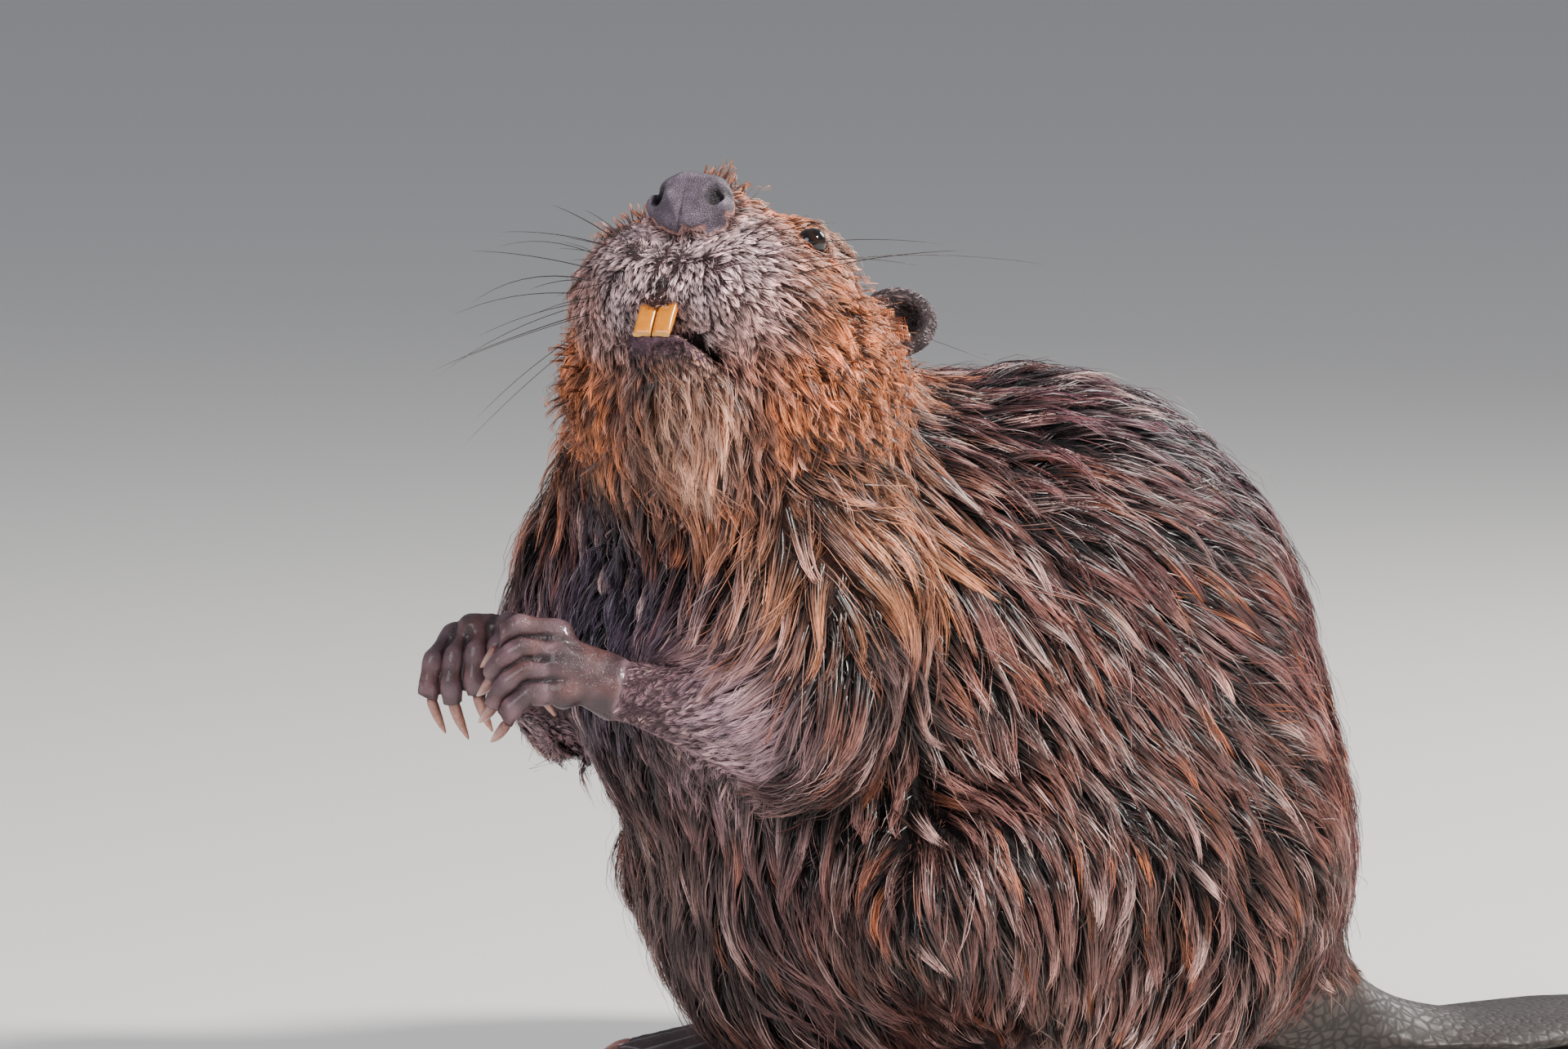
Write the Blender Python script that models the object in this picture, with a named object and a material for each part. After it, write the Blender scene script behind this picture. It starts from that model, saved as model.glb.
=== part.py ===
"""A life-size beaver that sits up on its haunches, its head raised and turned left, its hands together.

The animal faces -Y and its left side is at +X. The origin is on the floor, under its seat. Metres, +Z up.
Muscles and bones are ellipsoids and tapered limbs. They are remeshed into one body, which is smoothed and
thinned out, and then parted into its nodes by cutters, with a thin gap between neighbours.
"""

import math

import bmesh
import bpy
from mathutils import Matrix, Vector

# ---------------------------------------------------------------- driving dimensions
GAP = 0.0003  # between neighbouring parts
VOXEL = 0.0017  # of the remeshed body
HAND_VOXEL = 0.0012
BODY_TRIANGLES = 1880
HAND_TRIANGLES = 330
THINNING_BIAS = 0.0040  # towards keeping fine places
SOFT_ROUNDS = 150  # of smoothing on the trunk
FINE_ROUNDS = 5  # of smoothing everywhere

HEAD_TURN = math.radians(36)  # towards the animal's left
HEAD_LIFT = math.radians(38.5)
HEAD_ROLL = math.radians(2)  # its left side up
NOSE_TIP = Vector((0.069, -0.1986, 0.4002))
NOSE_RADII = (0.0125, 0.0198, 0.0158)
# places on the head are forward, left and up from the tip of the nose
EYE_PLACE = Vector((-0.0400, 0.0439, -0.0038))
EYE_RADIUS = 0.0064
EAR_PLACE = Vector((-0.1140, 0.0525, 0.0075))
EAR_RADII = (0.0185, 0.0165, 0.0062)  # from root to rim, to its sides, half its thickness
MOUTH_HEIGHT = -0.0635  # of the lower lip on the head
JAW_HALF_WIDTH = 0.034
INCISOR_WIDTH = 0.0083
INCISOR_TIP = Vector((-0.0120, 0, -0.0690))
INCISOR_LENGTH = 0.026
INCISOR_THICKNESS = 0.0046

RIGHT_REACH = Vector((0.002, -0.014, 0.002))  # of the right arm past the left one
SHOULDER = Vector((0.080, -0.135, 0.222))
ELBOW = Vector((0.096, -0.148, 0.170))
WRIST = Vector((0.052, -0.220, 0.187))
WRIST_RADIUS = 0.0145
FINGER_RADIUS = 0.0050
FINGER_SPACING = 0.0085
FINGER_BONES = (0.0150, 0.0115, 0.0085)
HAND_CLAW_LENGTH = 0.0225
HAND_CLAW_RADIUS = 0.0026

KNEE = Vector((0.106, -0.098, 0.092))
ANKLE = Vector((0.094, 0.006, 0.030))
HEEL = Vector((0.092, 0.018, 0.0))
FOOT_TURN = math.radians(12)  # toes outwards
FOOT_LENGTH = 0.158
FOOT_TOP = 0.034  # where the foot is parted from the shank
TOE_RADIUS = 0.0066
TOE_FAN = math.radians(11.5)  # between neighbouring toes
WEB_THICKNESS = 0.0060
WEB_REACH = 0.8  # of the last bone but one
WEB_SINK = Vector((0, 0, 0.003))  # below the middle of the toes
FOOT_CLAW_LENGTH = 0.0160
FOOT_CLAW_RADIUS = 0.0032
CLAW_DROOP = 0.30  # of its length, from root to tip
CLAW_DEPTH = 1.15  # over its width
CLAW_TAPER = 0.82  # of its width, lost by its tip
CLAW_RINGS = 3
CLAW_SIDES = 6

TAIL_START = Vector((0.0, 0.138, 0.012))
TAIL_LENGTH = 0.240
TAIL_WIDTH = 0.112
TAIL_THICKNESS = 0.020
TAIL_BEND = math.radians(30)  # over its length, towards the animal's right

REGION_DETAIL = 2  # subdivisions of the balls that part the limbs
EQUATOR = 1e-4  # of a unit ball: what lies on it stays with the nearer end
WELD = 0.00002  # joins points that a cut leaves almost together
FLOOR_CUT = 0.2  # depth of the block under the floor
LEFT, RIGHT = 1, -1
SIDE_NAMES = {LEFT: "left", RIGHT: "right"}

# colour, roughness
MATERIALS = {
    "coat": ((0.090, 0.052, 0.036), 0.85),
    "bare_skin": ((0.060, 0.045, 0.048), 0.50),
    "nose": ((0.050, 0.050, 0.062), 0.45),
    "tail_scales": ((0.055, 0.048, 0.045), 0.60),
    "eyeball": ((0.012, 0.010, 0.010), 0.08),
    "incisor": ((0.620, 0.250, 0.050), 0.30),
    "claw": ((0.200, 0.130, 0.100), 0.40),
}


# ---------------------------------------------------------------- frames
def head_axes():
    """The head's forward, left and up directions as columns."""
    forward = Vector(
        (
            math.sin(HEAD_TURN) * math.cos(HEAD_LIFT),
            -math.cos(HEAD_TURN) * math.cos(HEAD_LIFT),
            math.sin(HEAD_LIFT),
        )
    )
    level = Vector((math.cos(HEAD_TURN), math.sin(HEAD_TURN), 0))
    left = level * math.cos(HEAD_ROLL) + forward.cross(level) * math.sin(HEAD_ROLL)
    return Matrix((forward, left, forward.cross(left))).transposed()


HEAD = head_axes()
LEVEL = Matrix.Identity(3)


def on_head(forward, left, up):
    return NOSE_TIP + HEAD @ Vector((forward, left, up))


def sided(point, side):
    """A point of the left side, or its mirror image on the right one."""
    return Vector((side * point[0], point[1], point[2]))


def arm_point(point, side):
    """A point of the upper arm, which reaches further forward on the right."""
    return sided(point, side) + (RIGHT_REACH if side == RIGHT else Vector())


def frame_along(direction, hint=Vector((0, 0, 1))):
    """Axes as columns, the third along a direction and the first nearest to the hint."""
    third = Vector(direction).normalized()
    first = Vector(hint) - Vector(hint).dot(third) * third
    if first.length < 1e-4:
        first = third.orthogonal()
    first.normalize()
    return Matrix((first, third.cross(first), third)).transposed()


# ---------------------------------------------------------------- building blocks
def add_ellipsoid(bm, centre, radii, axes=LEVEL, detail=4):
    place = Matrix.Translation(Vector(centre)) @ axes.to_4x4() @ Matrix.Diagonal((*radii, 1.0))
    bmesh.ops.create_icosphere(bm, subdivisions=detail, radius=1.0, matrix=place)


def add_ball(bm, centre, radius):
    """A ball with its poles ahead and behind, on the head's axes."""
    place = Matrix.Translation(centre) @ frame_along(HEAD.col[0]).to_4x4()
    bmesh.ops.create_uvsphere(bm, u_segments=14, v_segments=8, radius=radius, matrix=place)


def add_limb(bm, start, end, start_radius, end_radius, flat=None, flatness=1.0, detail=3):
    """A taper with round ends: a ball pulled apart at its equator, flattened along a direction if asked."""
    start, end = Vector(start), Vector(end)
    axes = frame_along(end - start, flat if flat is not None else Vector((0, 0, 1)))
    ball = bmesh.ops.create_icosphere(bm, subdivisions=detail, radius=1.0)["verts"]
    for vert in ball:
        far = vert.co.z > EQUATOR
        off = vert.co * (end_radius if far else start_radius)
        off.x *= flatness
        vert.co = (end if far else start) + axes @ off


def add_box(bm, centre, size, axes=LEVEL):
    place = Matrix.Translation(Vector(centre)) @ axes.to_4x4() @ Matrix.Diagonal((*size, 1.0))
    bmesh.ops.create_cube(bm, size=1.0, matrix=place)


def mesh_of(name, build):
    """The mesh made by a function that fills a bmesh."""
    bm = bmesh.new()
    build(bm)
    bm.normal_update()
    bmesh.ops.recalc_face_normals(bm, faces=bm.faces)
    mesh = bpy.data.meshes.new(name)
    bm.to_mesh(mesh)
    bm.free()
    return mesh


def link(name, mesh):
    obj = bpy.data.objects.new(name, mesh)
    bpy.context.scene.collection.objects.link(obj)
    return obj


def drop(obj):
    bpy.data.objects.remove(obj)


def evaluated_mesh(obj):
    """A new mesh with an object's modifiers applied."""
    view = bpy.context.evaluated_depsgraph_get()
    return bpy.data.meshes.new_from_object(obj.evaluated_get(view))


def apply_modifiers(obj):
    mesh = evaluated_mesh(obj)
    obj.modifiers.clear()
    obj.data = mesh


def clean_cut(obj):
    """Weld almost equal points, and drop the slivers that a cutter leaves loose."""
    bm = bmesh.new()
    bm.from_mesh(obj.data)
    bmesh.ops.dissolve_degenerate(bm, dist=WELD, edges=bm.edges)
    waiting = set(bm.verts)
    pieces = []
    while waiting:
        front = [waiting.pop()]
        piece = set(front)
        while front:
            for edge in front.pop().link_edges:
                for vert in edge.verts:
                    if vert in waiting:
                        waiting.remove(vert)
                        piece.add(vert)
                        front.append(vert)
        pieces.append(piece)
    pieces.sort(key=len)
    for piece in pieces[:-1]:
        bmesh.ops.delete(bm, geom=list(piece), context="VERTS")
    bm.to_mesh(obj.data)
    bm.free()


def boolean(obj, cutter, operation):
    cut = obj.modifiers.new(operation.lower(), "BOOLEAN")
    cut.operation = operation
    cut.object = cutter
    cut.solver = "EXACT"
    apply_modifiers(obj)
    clean_cut(obj)


def with_shape(obj, operation, build, *args):
    """Cut an object with the shape that build(bm, *args) makes."""
    cutter = link("cutter", mesh_of("cutter", lambda bm: build(bm, *args)))
    boolean(obj, cutter, operation)
    drop(cutter)


def part_off(obj, name, region):
    """Split a region off an object, as a node of its own. region(bm, grow) makes the region's shape."""
    node = link(name, obj.data.copy())
    with_shape(node, "INTERSECT", region, -GAP / 2)
    with_shape(obj, "DIFFERENCE", region, GAP / 2)
    return node


def paint(obj, look):
    """Give a node its own material and smooth shading."""
    colour, roughness = MATERIALS[look]
    material = bpy.data.materials.new(f"{look}_{obj.name}")
    material.use_nodes = True
    surface = material.node_tree.nodes["Principled BSDF"]
    surface.inputs["Base Color"].default_value = (*colour, 1)
    surface.inputs["Roughness"].default_value = roughness
    surface.inputs["Metallic"].default_value = 0
    obj.data.materials.clear()
    obj.data.materials.append(material)
    obj.data.shade_smooth()
    obj.data.set_sharp_from_angle(angle=math.radians(50))


# ---------------------------------------------------------------- the body's forms
def add_trunk(bm):
    add_ellipsoid(bm, (0, 0.026, 0.112), (0.120, 0.126, 0.121))  # rump
    add_ellipsoid(bm, (0, 0.000, 0.166), (0.120, 0.138, 0.151))  # loin and ribs
    add_ellipsoid(bm, (0, -0.075, 0.104), (0.110, 0.103, 0.112))  # belly
    add_ellipsoid(bm, (0, -0.025, 0.088), (0.090, 0.105, 0.096))  # seat
    add_ellipsoid(bm, (0, -0.108, 0.192), (0.104, 0.103, 0.106))  # chest
    add_limb(bm, (0, -0.030, 0.204), (0.002, -0.092, 0.248), 0.114, 0.074)  # withers
    add_limb(bm, (0, -0.112, 0.225), (0.006, -0.130, 0.276), 0.098, 0.074)  # neck
    add_limb(bm, (0.010, -0.126, 0.272), on_head(-0.088, 0, -0.046), 0.064, 0.050)  # nape
    add_limb(bm, (0.008, -0.142, 0.262), on_head(-0.080, 0, -0.062), 0.070, 0.040)  # throat
    for side in SIDE_NAMES:
        add_ellipsoid(bm, (side * 0.050, -0.142, 0.262), (0.055, 0.056, 0.055))  # side of the neck
        add_ellipsoid(bm, arm_point((0.070, -0.138, 0.214), side), (0.046, 0.058, 0.062))  # shoulder


def add_head(bm):
    def lump(forward, left, up, radii):
        add_ellipsoid(bm, on_head(forward, left, up), radii, HEAD)

    lump(-0.088, 0, -0.012, (0.050, 0.050, 0.037))  # cranium
    lump(-0.054, 0, -0.009, (0.044, 0.039, 0.032))  # brow
    lump(-0.036, 0, -0.010, (0.028, 0.028, 0.026))  # bridge of the muzzle
    lump(-NOSE_RADII[0], 0, -0.0035, NOSE_RADII)  # nose
    lump(-0.0215, 0, -0.0440, (0.0175, 0.0235, 0.0235))  # upper lip
    for side in SIDE_NAMES:
        lump(-0.064, side * 0.030, -0.002, (0.030, 0.024, 0.025))  # ridge over the eye
        lump(-0.090, side * 0.037, -0.044, (0.043, 0.040, 0.044))  # jowl
        lump(-0.060, side * 0.034, -0.030, (0.042, 0.032, 0.036))  # cheek
        lump(-0.046, side * 0.027, -0.017, (0.030, 0.022, 0.023))  # side of the muzzle
        lump(-0.029, side * 0.0200, -0.0385, (0.025, 0.0215, 0.0235))  # whisker pad
    add_limb(bm, on_head(-0.090, 0, -0.066), on_head(-0.044, 0, -0.0770), 0.038, 0.0220)  # lower jaw
    lump(-0.030, 0, -0.0735, (0.0150, 0.0185, 0.0095))  # lower lip
    add_limb(bm, on_head(-0.048, 0, -0.078), (0.046, -0.188, 0.272), 0.024, 0.020)  # tuft under the chin


def add_arm(bm, side):
    add_limb(bm, arm_point(SHOULDER, side), arm_point(ELBOW, side), 0.046, 0.034)
    add_limb(bm, arm_point(ELBOW, side), sided(WRIST, side), 0.031, WRIST_RADIUS)


class Hand:
    """Where a hand's knuckles are and how its fingers run. Directions need no unit length."""

    def __init__(self, side, knuckles, across, bones, palm):
        self.side = side
        self.wrist = sided(WRIST, side)
        self.knuckles = Vector(knuckles)
        self.across = Vector(across).normalized()
        self.bones = [Vector(bone).normalized() for bone in bones]
        self.palm = Vector(palm).normalized()

    def fingers(self):
        """For each of the four fingers its size, its joints and the direction of its claw."""
        for i in range(4):
            place = i - 1.5
            size = 1 - 0.09 * abs(place - 0.2)
            joints = [self.knuckles + self.across * place * FINGER_SPACING]
            for bone, length in zip(self.bones, FINGER_BONES):
                joints.append(joints[-1] + (bone + self.across * 0.08 * place).normalized() * length * size)
            claw = (self.bones[-1] + self.palm * 0.30).normalized()
            yield size, joints, claw

    def thumb(self):
        root = self.wrist.lerp(self.knuckles, 0.5) - self.across * 0.010 + self.palm * 0.004
        reach = (self.bones[0] - self.across * 0.5 + self.palm * 0.9).normalized()
        return 0.85, [root, root + reach * 0.012, root + reach * 0.018], reach


HANDS = (
    Hand(
        side=LEFT,
        knuckles=(0.0430, -0.2440, 0.1990),
        across=(0.30, 0.02, -0.95),
        bones=((-0.30, -0.90, 0.10), (-0.50, -0.62, -0.55), (-0.62, -0.15, -0.76)),
        palm=(-0.93, 0.15, -0.32),
    ),
    Hand(
        side=RIGHT,
        knuckles=(-0.0340, -0.2420, 0.2040),
        across=(-0.72, -0.66, -0.22),
        bones=((0.36, -0.48, -0.30), (0.12, -0.20, -0.95), (-0.05, 0.16, -0.98)),
        palm=(-0.55, 0.70, -0.45),
    ),
)


def add_hand(bm, hand):
    """The hand with the forearm behind it, which gives the wrist its section."""
    add_limb(bm, arm_point(ELBOW, hand.side), hand.wrist, 0.031, WRIST_RADIUS)
    add_limb(bm, hand.wrist, hand.knuckles, WRIST_RADIUS, 0.0120, flat=hand.palm, flatness=0.80)
    half = hand.across * 1.4 * FINGER_SPACING
    add_limb(bm, hand.knuckles - half, hand.knuckles + half, 0.0088, 0.0088)
    for size, joints, _ in (*hand.fingers(), hand.thumb()):
        for i, (start, end) in enumerate(zip(joints, joints[1:])):
            radius = FINGER_RADIUS * size * (1 - 0.07 * i)
            add_limb(bm, start, end, radius, radius * 0.95)


def add_hind_leg(bm, side):
    add_ellipsoid(bm, (side * 0.080, 0.006, 0.104), (0.054, 0.106, 0.098))  # thigh
    add_limb(bm, sided((0.084, -0.016, 0.110), side), sided(KNEE, side), 0.060, 0.044)
    add_limb(bm, sided(KNEE, side), sided(ANKLE, side), 0.040, 0.026)


def foot_axes(side):
    """The foot's forward, outward and up directions as columns."""
    turn = side * FOOT_TURN
    forward = Vector((math.sin(turn), -math.cos(turn), 0))
    outward = Vector((math.cos(turn), math.sin(turn), 0)) * side
    return Matrix((forward, outward, Vector((0, 0, 1)))).transposed()


def on_foot(side, forward, outward, up):
    return sided(HEEL, side) + foot_axes(side) @ Vector((forward, outward, up))


def toes(side):
    """For each of the five toes, from the inner one, its three joints."""
    for i in range(5):
        place = i - 2
        angle = TOE_FAN * place
        reach = (FOOT_LENGTH - 0.072) * (1 - 0.050 * abs(place - 0.5) ** 1.5)
        ahead = Vector((math.cos(angle), math.sin(angle)))
        root = Vector((0.068, place * 0.0080))
        yield [
            on_foot(side, *(root + ahead * reach * share), height)
            for share, height in ((0, 0.0150), (0.46, 0.0135), (0.90, 0.0062))
        ]


def add_foot(bm, side):
    """A long webbed foot, flat on the floor."""
    add_limb(bm, on_foot(side, 0.006, 0, 0.016), on_foot(side, 0.074, 0.002, 0.015), 0.0185, 0.0215)
    add_limb(bm, sided(ANKLE, side), on_foot(side, 0.030, 0, 0.018), 0.026, 0.020)
    joints = list(toes(side))
    for joint in joints:
        for start, end in zip(joint, joint[1:]):
            add_limb(bm, start, end, TOE_RADIUS, TOE_RADIUS * 0.95)
    for first, second in zip(joints, joints[1:]):
        add_web(bm, first, second)


def add_web(bm, first, second):
    """A thin plate of skin between two toes, from their roots to near their tips."""
    low = Vector((0, 0, WEB_THICKNESS))
    ends = [toe[1].lerp(toe[2], WEB_REACH) for toe in (first, second)]
    outline = [first[0], first[1], ends[0], ends[1], second[1], second[0]]
    top = [bm.verts.new(corner + low * 0.5 - WEB_SINK) for corner in outline]
    bottom = [bm.verts.new(corner - low * 0.5 - WEB_SINK) for corner in outline]
    bm.faces.new(top)
    bm.faces.new(reversed(bottom))
    for i, vert in enumerate(top):
        after = (i + 1) % len(top)
        bm.faces.new((vert, bottom[i], bottom[after], top[after]))


def tail_station(share):
    """Centre, heading, half width and half thickness of the tail at a share of its length."""
    angle = TAIL_BEND * share
    radius = TAIL_LENGTH / TAIL_BEND
    centre = TAIL_START + Vector((-radius * (1 - math.cos(angle)), radius * math.sin(angle), 0))
    root = 0.42 + 0.58 * math.sin(min(share / 0.42, 1) * math.pi / 2)
    tip = math.sqrt(max(1 - (max(share - 0.62, 0) / 0.38) ** 2.4, 0))
    thickness = TAIL_THICKNESS * (1 - 0.50 * share) * (0.25 + 0.75 * tip)
    return centre, angle, TAIL_WIDTH / 2 * root * max(tip, 0.06), thickness / 2


def add_tail(bm):
    """The flat paddle: rings of flattened section along its arc, closed at both ends."""
    stations, sides = 22, 28
    rings = []
    for i in range(stations):
        centre, angle, width, thick = tail_station(i / (stations - 1))
        across = Vector((math.cos(angle), math.sin(angle), 0))
        ring = []
        for j in range(sides):
            turn = 2 * math.pi * j / sides
            out = math.copysign(abs(math.cos(turn)) ** 0.9, math.cos(turn))
            up = math.copysign(abs(math.sin(turn)) ** 0.8, math.sin(turn))
            ring.append(bm.verts.new(centre + across * out * width + Vector((0, 0, up * thick))))
        rings.append(ring)
    for first, second in zip(rings, rings[1:]):
        for j in range(sides):
            after = (j + 1) % sides
            bm.faces.new((first[j], first[after], second[after], second[j]))
    bm.faces.new(rings[0])
    bm.faces.new(rings[-1])
    add_limb(bm, (0, 0.104, 0.050), TAIL_START + Vector((0, 0.030, 0.004)), 0.050, 0.022, (0, 0.3, 1), 0.80)


def add_body(bm):
    add_trunk(bm)
    add_head(bm)
    for side in SIDE_NAMES:
        add_hind_leg(bm, side)
        add_foot(bm, side)
        add_arm(bm, side)
    add_tail(bm)


def add_claw(bm, root, direction, droop, length, radius, grow=0.0):
    """A curved taper of rings, closed at its root and at its blunt tip."""
    axes = frame_along(direction, droop)
    rings = []
    for i in range(CLAW_RINGS + 1):
        share = i / CLAW_RINGS
        centre = Vector(root) + axes @ Vector((CLAW_DROOP * length * share**2, 0, share * length))
        reach = radius * (1 - CLAW_TAPER * share**1.6) + grow
        ring = []
        for j in range(CLAW_SIDES):
            turn = 2 * math.pi * j / CLAW_SIDES
            spoke = Vector((math.cos(turn) * CLAW_DEPTH, math.sin(turn), 0)) * reach
            ring.append(bm.verts.new(centre + axes @ spoke))
        rings.append(ring)
    for first, second in zip(rings, rings[1:]):
        for j in range(CLAW_SIDES):
            after = (j + 1) % CLAW_SIDES
            bm.faces.new((first[j], first[after], second[after], second[j]))
    bm.faces.new(rings[0])
    bm.faces.new(rings[-1])


def hand_claws(hand):
    """For each claw of a hand, from the thumb, the arguments of add_claw."""
    size, joints, reach = hand.thumb()
    yield joints[-1], reach, hand.palm, HAND_CLAW_LENGTH * 0.6, HAND_CLAW_RADIUS * size
    for size, joints, reach in hand.fingers():
        yield joints[-1], reach, hand.palm, HAND_CLAW_LENGTH * size, HAND_CLAW_RADIUS * size


def foot_claws(side):
    for joints in toes(side):
        ahead = joints[2] - joints[1]
        yield joints[-1] + Vector((0, 0, 0.0012)), Vector((ahead.x, ahead.y, 0)), Vector((0, 0, -1)), (
            FOOT_CLAW_LENGTH
        ), FOOT_CLAW_RADIUS


def add_ear(bm, side):
    """A low round ear that stands out from the head. Its front is hollowed afterwards."""
    add_ellipsoid(bm, on_head(*ear_place(side)), EAR_RADII, ear_axes(side), detail=3)


def add_ear_hollow(bm, side):
    axes = ear_axes(side)
    centre = on_head(*ear_place(side)) + axes @ Vector((-0.002, 0, EAR_RADII[2]))
    add_ellipsoid(bm, centre, [radius * 0.72 for radius in EAR_RADII], axes, detail=2)


def ear_place(side):
    return EAR_PLACE.x, side * EAR_PLACE.y, EAR_PLACE.z


def ear_axes(side):
    """From its root to its rim, across it, and out of its hollow, as columns."""
    rim = (HEAD @ Vector((-0.40, side * 0.62, 0.68))).normalized()
    hollow = HEAD @ Vector((0.82, side * 0.57, 0.0))
    hollow = (hollow - hollow.dot(rim) * rim).normalized()
    return Matrix((rim, hollow.cross(rim), hollow)).transposed()


# ---------------------------------------------------------------- from forms to one smooth body
def near(point, centre, full, none):
    """1 within one distance of a centre, 0 beyond another, and a slope between."""
    away = (point - centre).length
    return min(max((none - away) / (none - full), 0), 1)


def fineness(point):
    """How much detail a place on the body carries: the face, the feet and the tail's rim keep theirs."""
    found = near(point, on_head(-0.030, 0, -0.035), 0.060, 0.105)
    if point.z < FOOT_TOP:
        for side in SIDE_NAMES:
            found = max(found, 0.8 * near(point, on_foot(side, 0.100, 0, 0), 0.075, 0.100))
        if point.y > TAIL_START.y + 0.03:
            found = max(found, 0.7)
    return found


def fused(name, build, voxel):
    """The shapes that build(bm) makes, remeshed into one."""
    obj = link(name, mesh_of(name, build))
    remesh = obj.modifiers.new("fuse", "REMESH")
    remesh.mode = "VOXEL"
    remesh.voxel_size = voxel
    apply_modifiers(obj)
    return obj


def smooth(obj, rounds, group=""):
    modifier = obj.modifiers.new("smooth", "SMOOTH")
    modifier.factor = 0.5
    modifier.iterations = rounds
    modifier.vertex_group = group


def thin_out(obj, triangles, group=""):
    modifier = obj.modifiers.new("thin_out", "DECIMATE")
    modifier.ratio = triangles / (2 * len(obj.data.polygons))
    modifier.vertex_group = group
    modifier.vertex_group_factor = THINNING_BIAS
    modifier.use_collapse_triangulate = True


def smooth_body():
    """One closed body, blended from all the forms and flat where it touches the floor."""
    body = fused("trunk", add_body, VOXEL)
    soft = body.vertex_groups.new(name="soft")
    coarse = body.vertex_groups.new(name="coarse")
    for vert in body.data.vertices:
        detail = fineness(vert.co)
        soft.add([vert.index], (1 - detail) ** 2, "REPLACE")
        coarse.add([vert.index], 1 - 0.95 * detail, "REPLACE")
    smooth(body, SOFT_ROUNDS, soft.name)
    smooth(body, FINE_ROUNDS)
    thin_out(body, BODY_TRIANGLES, coarse.name)
    apply_modifiers(body)
    body.vertex_groups.clear()
    with_shape(body, "DIFFERENCE", add_box, (0, 0, -FLOOR_CUT / 2), (2, 2, FLOOR_CUT))
    return body


# ---------------------------------------------------------------- regions that part the nodes
def add_slab_region(bm, corner, along, across, size, grow):
    """A cube on one side of the plane through a point and two directions; their product points into it."""
    inwards = Vector(along).cross(Vector(across)).normalized()
    axes = frame_along(inwards, along)
    add_box(bm, Vector(corner) + inwards * (size / 2 - grow), (size, size, size), axes)


def head_region(bm, grow):
    nape, throat = on_head(-0.130, 0, -0.018), on_head(-0.062, 0, -0.122)
    add_slab_region(bm, (nape + throat) / 2, throat - nape, HEAD.col[1], 0.34, grow)


def neck_region(bm, grow):
    withers, chest = Vector((0, -0.040, 0.325)), Vector((0, -0.205, 0.252))
    add_slab_region(bm, (withers + chest) / 2, chest - withers, (1, 0, 0), 0.30, grow)


def jaw_region(bm, grow):
    length, depth = 0.14, 0.14
    centre = on_head(-0.086 + length / 2, 0, MOUTH_HEIGHT - depth / 2)
    size = Vector((length, 2 * JAW_HALF_WIDTH, depth)) + Vector((2, 2, 2)) * grow
    add_box(bm, centre, size, HEAD)


def nose_region(bm, grow):
    radii = [radius + 0.0010 + grow for radius in NOSE_RADII]
    add_ellipsoid(bm, on_head(-NOSE_RADII[0] + 0.0012, 0, -0.0035), radii, HEAD, detail=2)


def upper_arm_region(bm, grow, side):
    top = arm_point(SHOULDER + Vector((0.010, 0, 0.012)), side)
    add_limb(bm, top, arm_point(ELBOW, side), 0.062 + grow, 0.050 + grow, detail=REGION_DETAIL)


def forearm_region(bm, grow, side):
    start = arm_point(ELBOW, side).lerp(sided(WRIST, side), 0.25)
    end = sided(WRIST, side) + (sided(WRIST, side) - start).normalized() * 0.05
    add_limb(bm, start, end, 0.036 + grow, 0.030 + grow, detail=REGION_DETAIL)


def thigh_region(bm, grow, side):
    radii = [radius + grow for radius in (0.058, 0.138, 0.094)]
    add_ellipsoid(bm, (side * 0.108, -0.028, 0.110), radii, detail=REGION_DETAIL)


def shank_region(bm, grow, side):
    start = sided(KNEE + Vector((0, 0.030, -0.030)), side)
    add_limb(bm, start, sided(ANKLE, side), 0.040 + grow, 0.036 + grow, detail=REGION_DETAIL)


def foot_region(bm, grow, side):
    length, width = 0.22, 0.102
    centre = on_foot(side, 0.078, 0.010, 0)
    size = Vector((length, width, 2 * FOOT_TOP)) + Vector((2, 2, 2)) * grow
    add_box(bm, centre, size, foot_axes(side))


def tail_region(bm, grow):
    axes = frame_along((0, 1, -0.55))
    add_box(bm, Vector((0, 0.131, 0.066)) + axes.col[2] * (0.2 - grow), (0.26 + grow, 0.32 + grow, 0.4), axes)


def beyond_wrist(bm, hand, grow):
    """The space past the wrist, along the forearm."""
    along = hand.wrist - arm_point(ELBOW, hand.side)
    axes = frame_along(along)
    add_box(bm, hand.wrist + along.normalized() * (0.1 - grow), (0.2, 0.2, 0.2), axes)


# ---------------------------------------------------------------- the nodes
def make_hand(hand):
    name = f"hand_{SIDE_NAMES[hand.side]}"
    node = fused(name, lambda bm: add_hand(bm, hand), HAND_VOXEL)
    smooth(node, FINE_ROUNDS)
    apply_modifiers(node)
    thin_out(node, HAND_TRIANGLES * 1.5)
    apply_modifiers(node)
    with_shape(node, "INTERSECT", beyond_wrist, hand, -GAP / 2)
    make_claws(node, f"claw_{name}", hand_claws(hand))
    paint(node, "bare_skin")


def make_claws(owner, name, claws):
    """Claws as nodes of their own, each in a socket at the end of its finger or toe."""
    for i, claw in enumerate(claws):
        node = link(f"{name}_{i + 1}", mesh_of(name, lambda bm: add_claw(bm, *claw)))
        with_shape(owner, "DIFFERENCE", add_claw, *claw, GAP)
        paint(node, "claw")


def make_ear(head, side):
    """An ear whose root ends just outside the head."""
    node = link(f"ear_{SIDE_NAMES[side]}", mesh_of("ear", lambda bm: add_ear(bm, side)))
    with_shape(node, "DIFFERENCE", add_ear_hollow, side)
    grown = link("head_grown", head.data.copy())
    swell = grown.modifiers.new("swell", "DISPLACE")
    swell.strength = GAP
    swell.mid_level = 0
    apply_modifiers(grown)
    boolean(node, grown, "DIFFERENCE")
    drop(grown)
    paint(node, "coat")


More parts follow.
